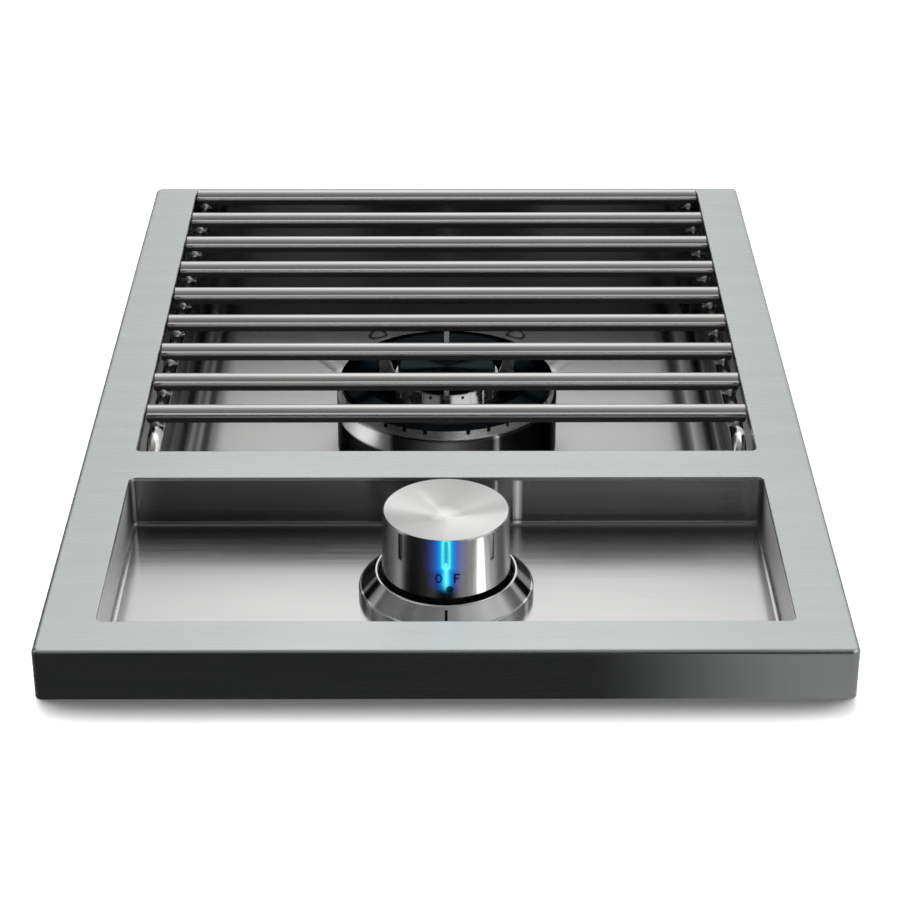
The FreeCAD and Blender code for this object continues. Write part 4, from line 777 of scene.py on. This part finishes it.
studio = {"white": 1.0, "ambient": (0.0, 0.5, 0.2, 4.7), "sideStart": (14.0, 26.0), "sideEnd": (160.0, 142.0),
          "sideTop": (64.0, 48.0), "sideLow": (6.0, 18.0), "edgeStart": (5.0, 9.5), "edgeFall": 0.16,
          "leftToRight": (-0.14, 0.14, 0.97, 1.0), "strokeAt": 130.0, "strokeSide": (4.0, 2.0),
          "strokeHeight": (8.0, 5.6)}
# levels that metal mirrors, in degrees from the back horizon (0) over the top (90) to the front (180)
overhead = ((-180, 0.02), (-30, 0.02), (-4, 0.3), (2, 0.62), (12, 0.76), (20, 0.80), (26, 0.84),
            (29.5, 0.92), (33, 1.04), (38, 1.20), (46, 1.12), (58, 1.05), (72, 0.80), (88, 0.50),
            (101, 0.36), (113, 0.26), (130, 0.22), (140, 0.14), (148, 0.04), (165, 0.02), (180, 0.02))
# levels of the ring at the sides, in degrees from the front (0) to the right (90) and to the left (-90)
around = ((-180, 0.5), (-150, 0.08), (-125, 0.08), (-106, 0.36), (-95, 0.75), (-84, 0.3), (-76, 0.04),
          (-58, 0.02), (-38, 0.05), (-20, 0.1), (0, 0.05), (18, 0.4), (32, 0.7), (45, 0.8), (60, 1.0),
          (74, 1.1), (86, 1.1), (98, 0.8), (112, 0.3), (124, 0.3), (140, 0.9), (180, 0.6))


def addStudio():
    world = bpy.data.worlds.new("studio")
    world.use_nodes = True
    tree = world.node_tree
    tree.nodes.clear()
    way = split(tree, addNode(tree, "ShaderNodeTexCoord").outputs["Generated"])

    def degrees(operation, first, second=0.0):
        return product(tree, mathNode(tree, operation, first, second), math.degrees(1.0))

    def window(place, shut, full):
        return fromTo(tree, place, *((shut, full, 0.0, 1.0) if shut < full else (full, shut, 1.0, 0.0)))

    arch = degrees("ARCTAN2", way["Z"], way["Y"])
    turn = degrees("ARCTAN2", way["X"], product(tree, way["Y"], -1.0))
    height = degrees("ARCSINE", way["Z"])
    away = mathNode(tree, "ABSOLUTE", turn)
    edge = window(mathNode(tree, "SUBTRACT", 180.0, away), *studio["edgeStart"])
    above = product(tree, levelCurve(tree, arch, overhead),
                    mathNode(tree, "MULTIPLY_ADD", edge, -studio["edgeFall"], 1.0),
                    fromTo(tree, way["X"], *studio["leftToRight"]))
    strokeSide = window(apart(tree, away, studio["strokeAt"]), *studio["strokeSide"])
    strokeHeight = window(mathNode(tree, "ABSOLUTE", height), *studio["strokeHeight"])
    ring = product(tree, levelCurve(tree, turn, around), window(height, *studio["sideLow"]))
    ring = mathNode(tree, "MULTIPLY_ADD", strokeSide, strokeHeight, ring)
    ringShare = product(tree, window(height, *studio["sideTop"]), window(away, *studio["sideStart"]),
                        window(away, *studio["sideEnd"]))
    rays = addNode(tree, "ShaderNodeLightPath").outputs
    ambient = fromTo(tree, way["Y"], *studio["ambient"])
    level = blend(tree, rays["Is Glossy Ray"], ambient, blend(tree, ringShare, above, ring))
    level = blend(tree, rays["Is Camera Ray"], level, studio["white"])
    background = addNode(tree, "ShaderNodeBackground", {"Color": (1, 1, 1, 1), "Strength": level})
    addNode(tree, "ShaderNodeOutputWorld", {"Surface": background.outputs[0]})
    bpy.context.scene.world = world


# each lamp stands at a turn from the front, a height and a distance from what it is aimed at
lamps = {
    "topLamp": {"aim": (0, 0.0, 0.15), "turn": 186.0, "height": 44.0, "away": 2.1, "size": (2.0, 1.6),
                "power": 50.0},
    "rodLamp": {"aim": (0, 0.07, 0.15), "turn": 0.0, "height": 22.0, "away": 1.7, "size": (1.6, 0.6),
                "power": 1.75, "lights": ("grate_rod_", "grate_bar_", "grateWelds")},
    "leftBarLamp": {"aim": (-0.1248, -0.052, 0.1447), "turn": 150.0, "height": 18.0, "away": 0.012,
                    "size": (0.018, 0.02), "power": 0.0007, "lights": ("grate_bar_left",)},
    "rightBarLamp": {"aim": (0.1276, -0.052, 0.1447), "turn": 150.0, "height": 18.0, "away": 0.012,
                     "size": (0.018, 0.02), "power": 0.001, "lights": ("grate_bar_right",)},
    "wellLamp": {"aim": (0, 0.07, 0.08), "turn": 176.0, "height": 60.0, "away": 2.0, "size": (1.2, 0.8),
                 "power": 3.8, "lights": ("burner_well", "burner_crown", "inner_crown", "burner_fins")},
    "crownLamp": {"aim": (0, 0.02, 0.105), "turn": 174.0, "height": 30.0, "away": 2.0, "size": (1.2, 0.5),
                  "power": 1.3, "lights": ("burner_crown",)},
    "bezelLamp": {"aim": (0, -0.145, 0.135), "turn": -60.0, "height": 58.0, "away": 1.5, "size": (0.5, 0.5),
                  "power": 0.3, "lights": ("bezel",)},
    "crescentLamp": {"aim": (-0.0404, 0.0406, 0.1005), "turn": -100.0, "height": -28.0, "away": 0.02,
                     "size": (0.036, 0.012), "power": 0.0011, "lights": ("burner_base",)},
    "portLamp": {"aim": (0.0105, 0.0520, 0.112), "turn": 25.0, "height": -28.0, "away": 0.006,
                 "size": (0.02, 0.008), "power": 0.00032, "lights": ("inner_crown",)},
    "leftPortLamp": {"aim": (-0.0085, 0.0510, 0.112), "turn": -22.0, "height": -28.0, "away": 0.006,
                     "size": (0.012, 0.006), "power": 0.00003, "lights": ("inner_crown",)},
    "knobStripLamp": {"aim": (0.0132, -0.1662, 0.1525), "turn": 64.0, "height": -28.4, "away": 0.02,
                      "size": (0.0075, 0.026), "power": 0.0017, "lights": ("knob_body",)},
    "knobStripHalo": {"aim": (0.0132, -0.1662, 0.1525), "turn": 66.0, "height": -28.4, "away": 0.019,
                      "size": (0.015, 0.026), "power": 0.0004, "lights": ("knob_body",)},
    "knobRayLamp": {"aim": (0, -0.145, 0.165), "turn": 174.5, "height": 42.0, "away": 2.0,
                    "size": (0.03, 0.05), "power": 0.03, "lights": ("knob_body",)},
    "knobLeftLamp": {"aim": (0, -0.145, 0.165), "turn": 167.0, "height": 28.0, "away": 2.0,
                     "size": (0.22, 0.3), "power": 0.06, "lights": ("knob_body",)},
    "wallStripLamp": {"aim": (0.0296, -0.092, 0.1415), "turn": 1.6, "height": -28.0, "away": 0.01,
                      "size": (0.0014, 0.02), "power": 0.00007, "lights": ("control_recess",)},
    "wallStripHalo": {"aim": (0.0296, -0.092, 0.1415), "turn": 1.6, "height": -28.0, "away": 0.01,
                      "size": (0.0036, 0.02), "power": 0.00008, "lights": ("control_recess",)},
    "wallEdgeLamp": {"aim": (0.0206, -0.092, 0.1455), "turn": 1.6, "height": -28.0, "away": 0.01,
                     "size": (0.0009, 0.012), "power": 0.00002, "lights": ("control_recess",)},
}


def addLamps():
    def groupOf(title, starts):
        group = bpy.data.collections.new(title)
        for thing in (*nodes.values(), welds):
            if thing.name.startswith(starts):
                group.objects.link(thing)
        return group

    for name, look in lamps.items():
        data = bpy.data.lights.new(name, "AREA")
        data.shape = "RECTANGLE"
        data.size, data.size_y = look["size"]
        data.energy = look["power"]
        lamp = bpy.data.objects.new(name, data)
        turn, height = math.radians(look["turn"]), math.radians(look["height"])
        level = math.cos(height)
        way = Vector((math.sin(turn) * level, -math.cos(turn) * level, math.sin(height)))
        lamp.location = Vector(look["aim"]) + way * look["away"]
        lamp.rotation_euler = way.to_track_quat("Z", "Y").to_euler()
        lamp.visible_glossy = "lights" in look
        if "lights" in look:
            lamp.light_linking.receiver_collection = groupOf(name + "Receivers", look["lights"])
        bpy.context.scene.collection.objects.link(lamp)


# camera as the photograph was taken, in metres, degrees and pixels
camera = {"at": (0.0016, -0.9805, 0.6418), "pitch": 28.452, "turn": 0.143, "focal": 2455.8, "width": 911,
          "sensor": 36.0, "nearest": 0.01, "farthest": 50}


def addCamera():
    data = bpy.data.cameras.new("camera")
    data.sensor_width = camera["sensor"]
    data.sensor_fit = "HORIZONTAL"
    data.lens = camera["focal"] / camera["width"] * camera["sensor"]
    data.clip_start, data.clip_end = camera["nearest"], camera["farthest"]
    view = bpy.data.objects.new("camera", data)
    view.rotation_mode = "XYZ"
    view.location = camera["at"]
    view.rotation_euler = (math.radians(90 - camera["pitch"]), 0.0, math.radians(-camera["turn"]))
    bpy.context.scene.collection.objects.link(view)
    bpy.context.scene.camera = view


addCounter()
addStudio()
addLamps()
addCamera()
bpy.context.scene.view_settings.view_transform = "Standard"
print("studio done")
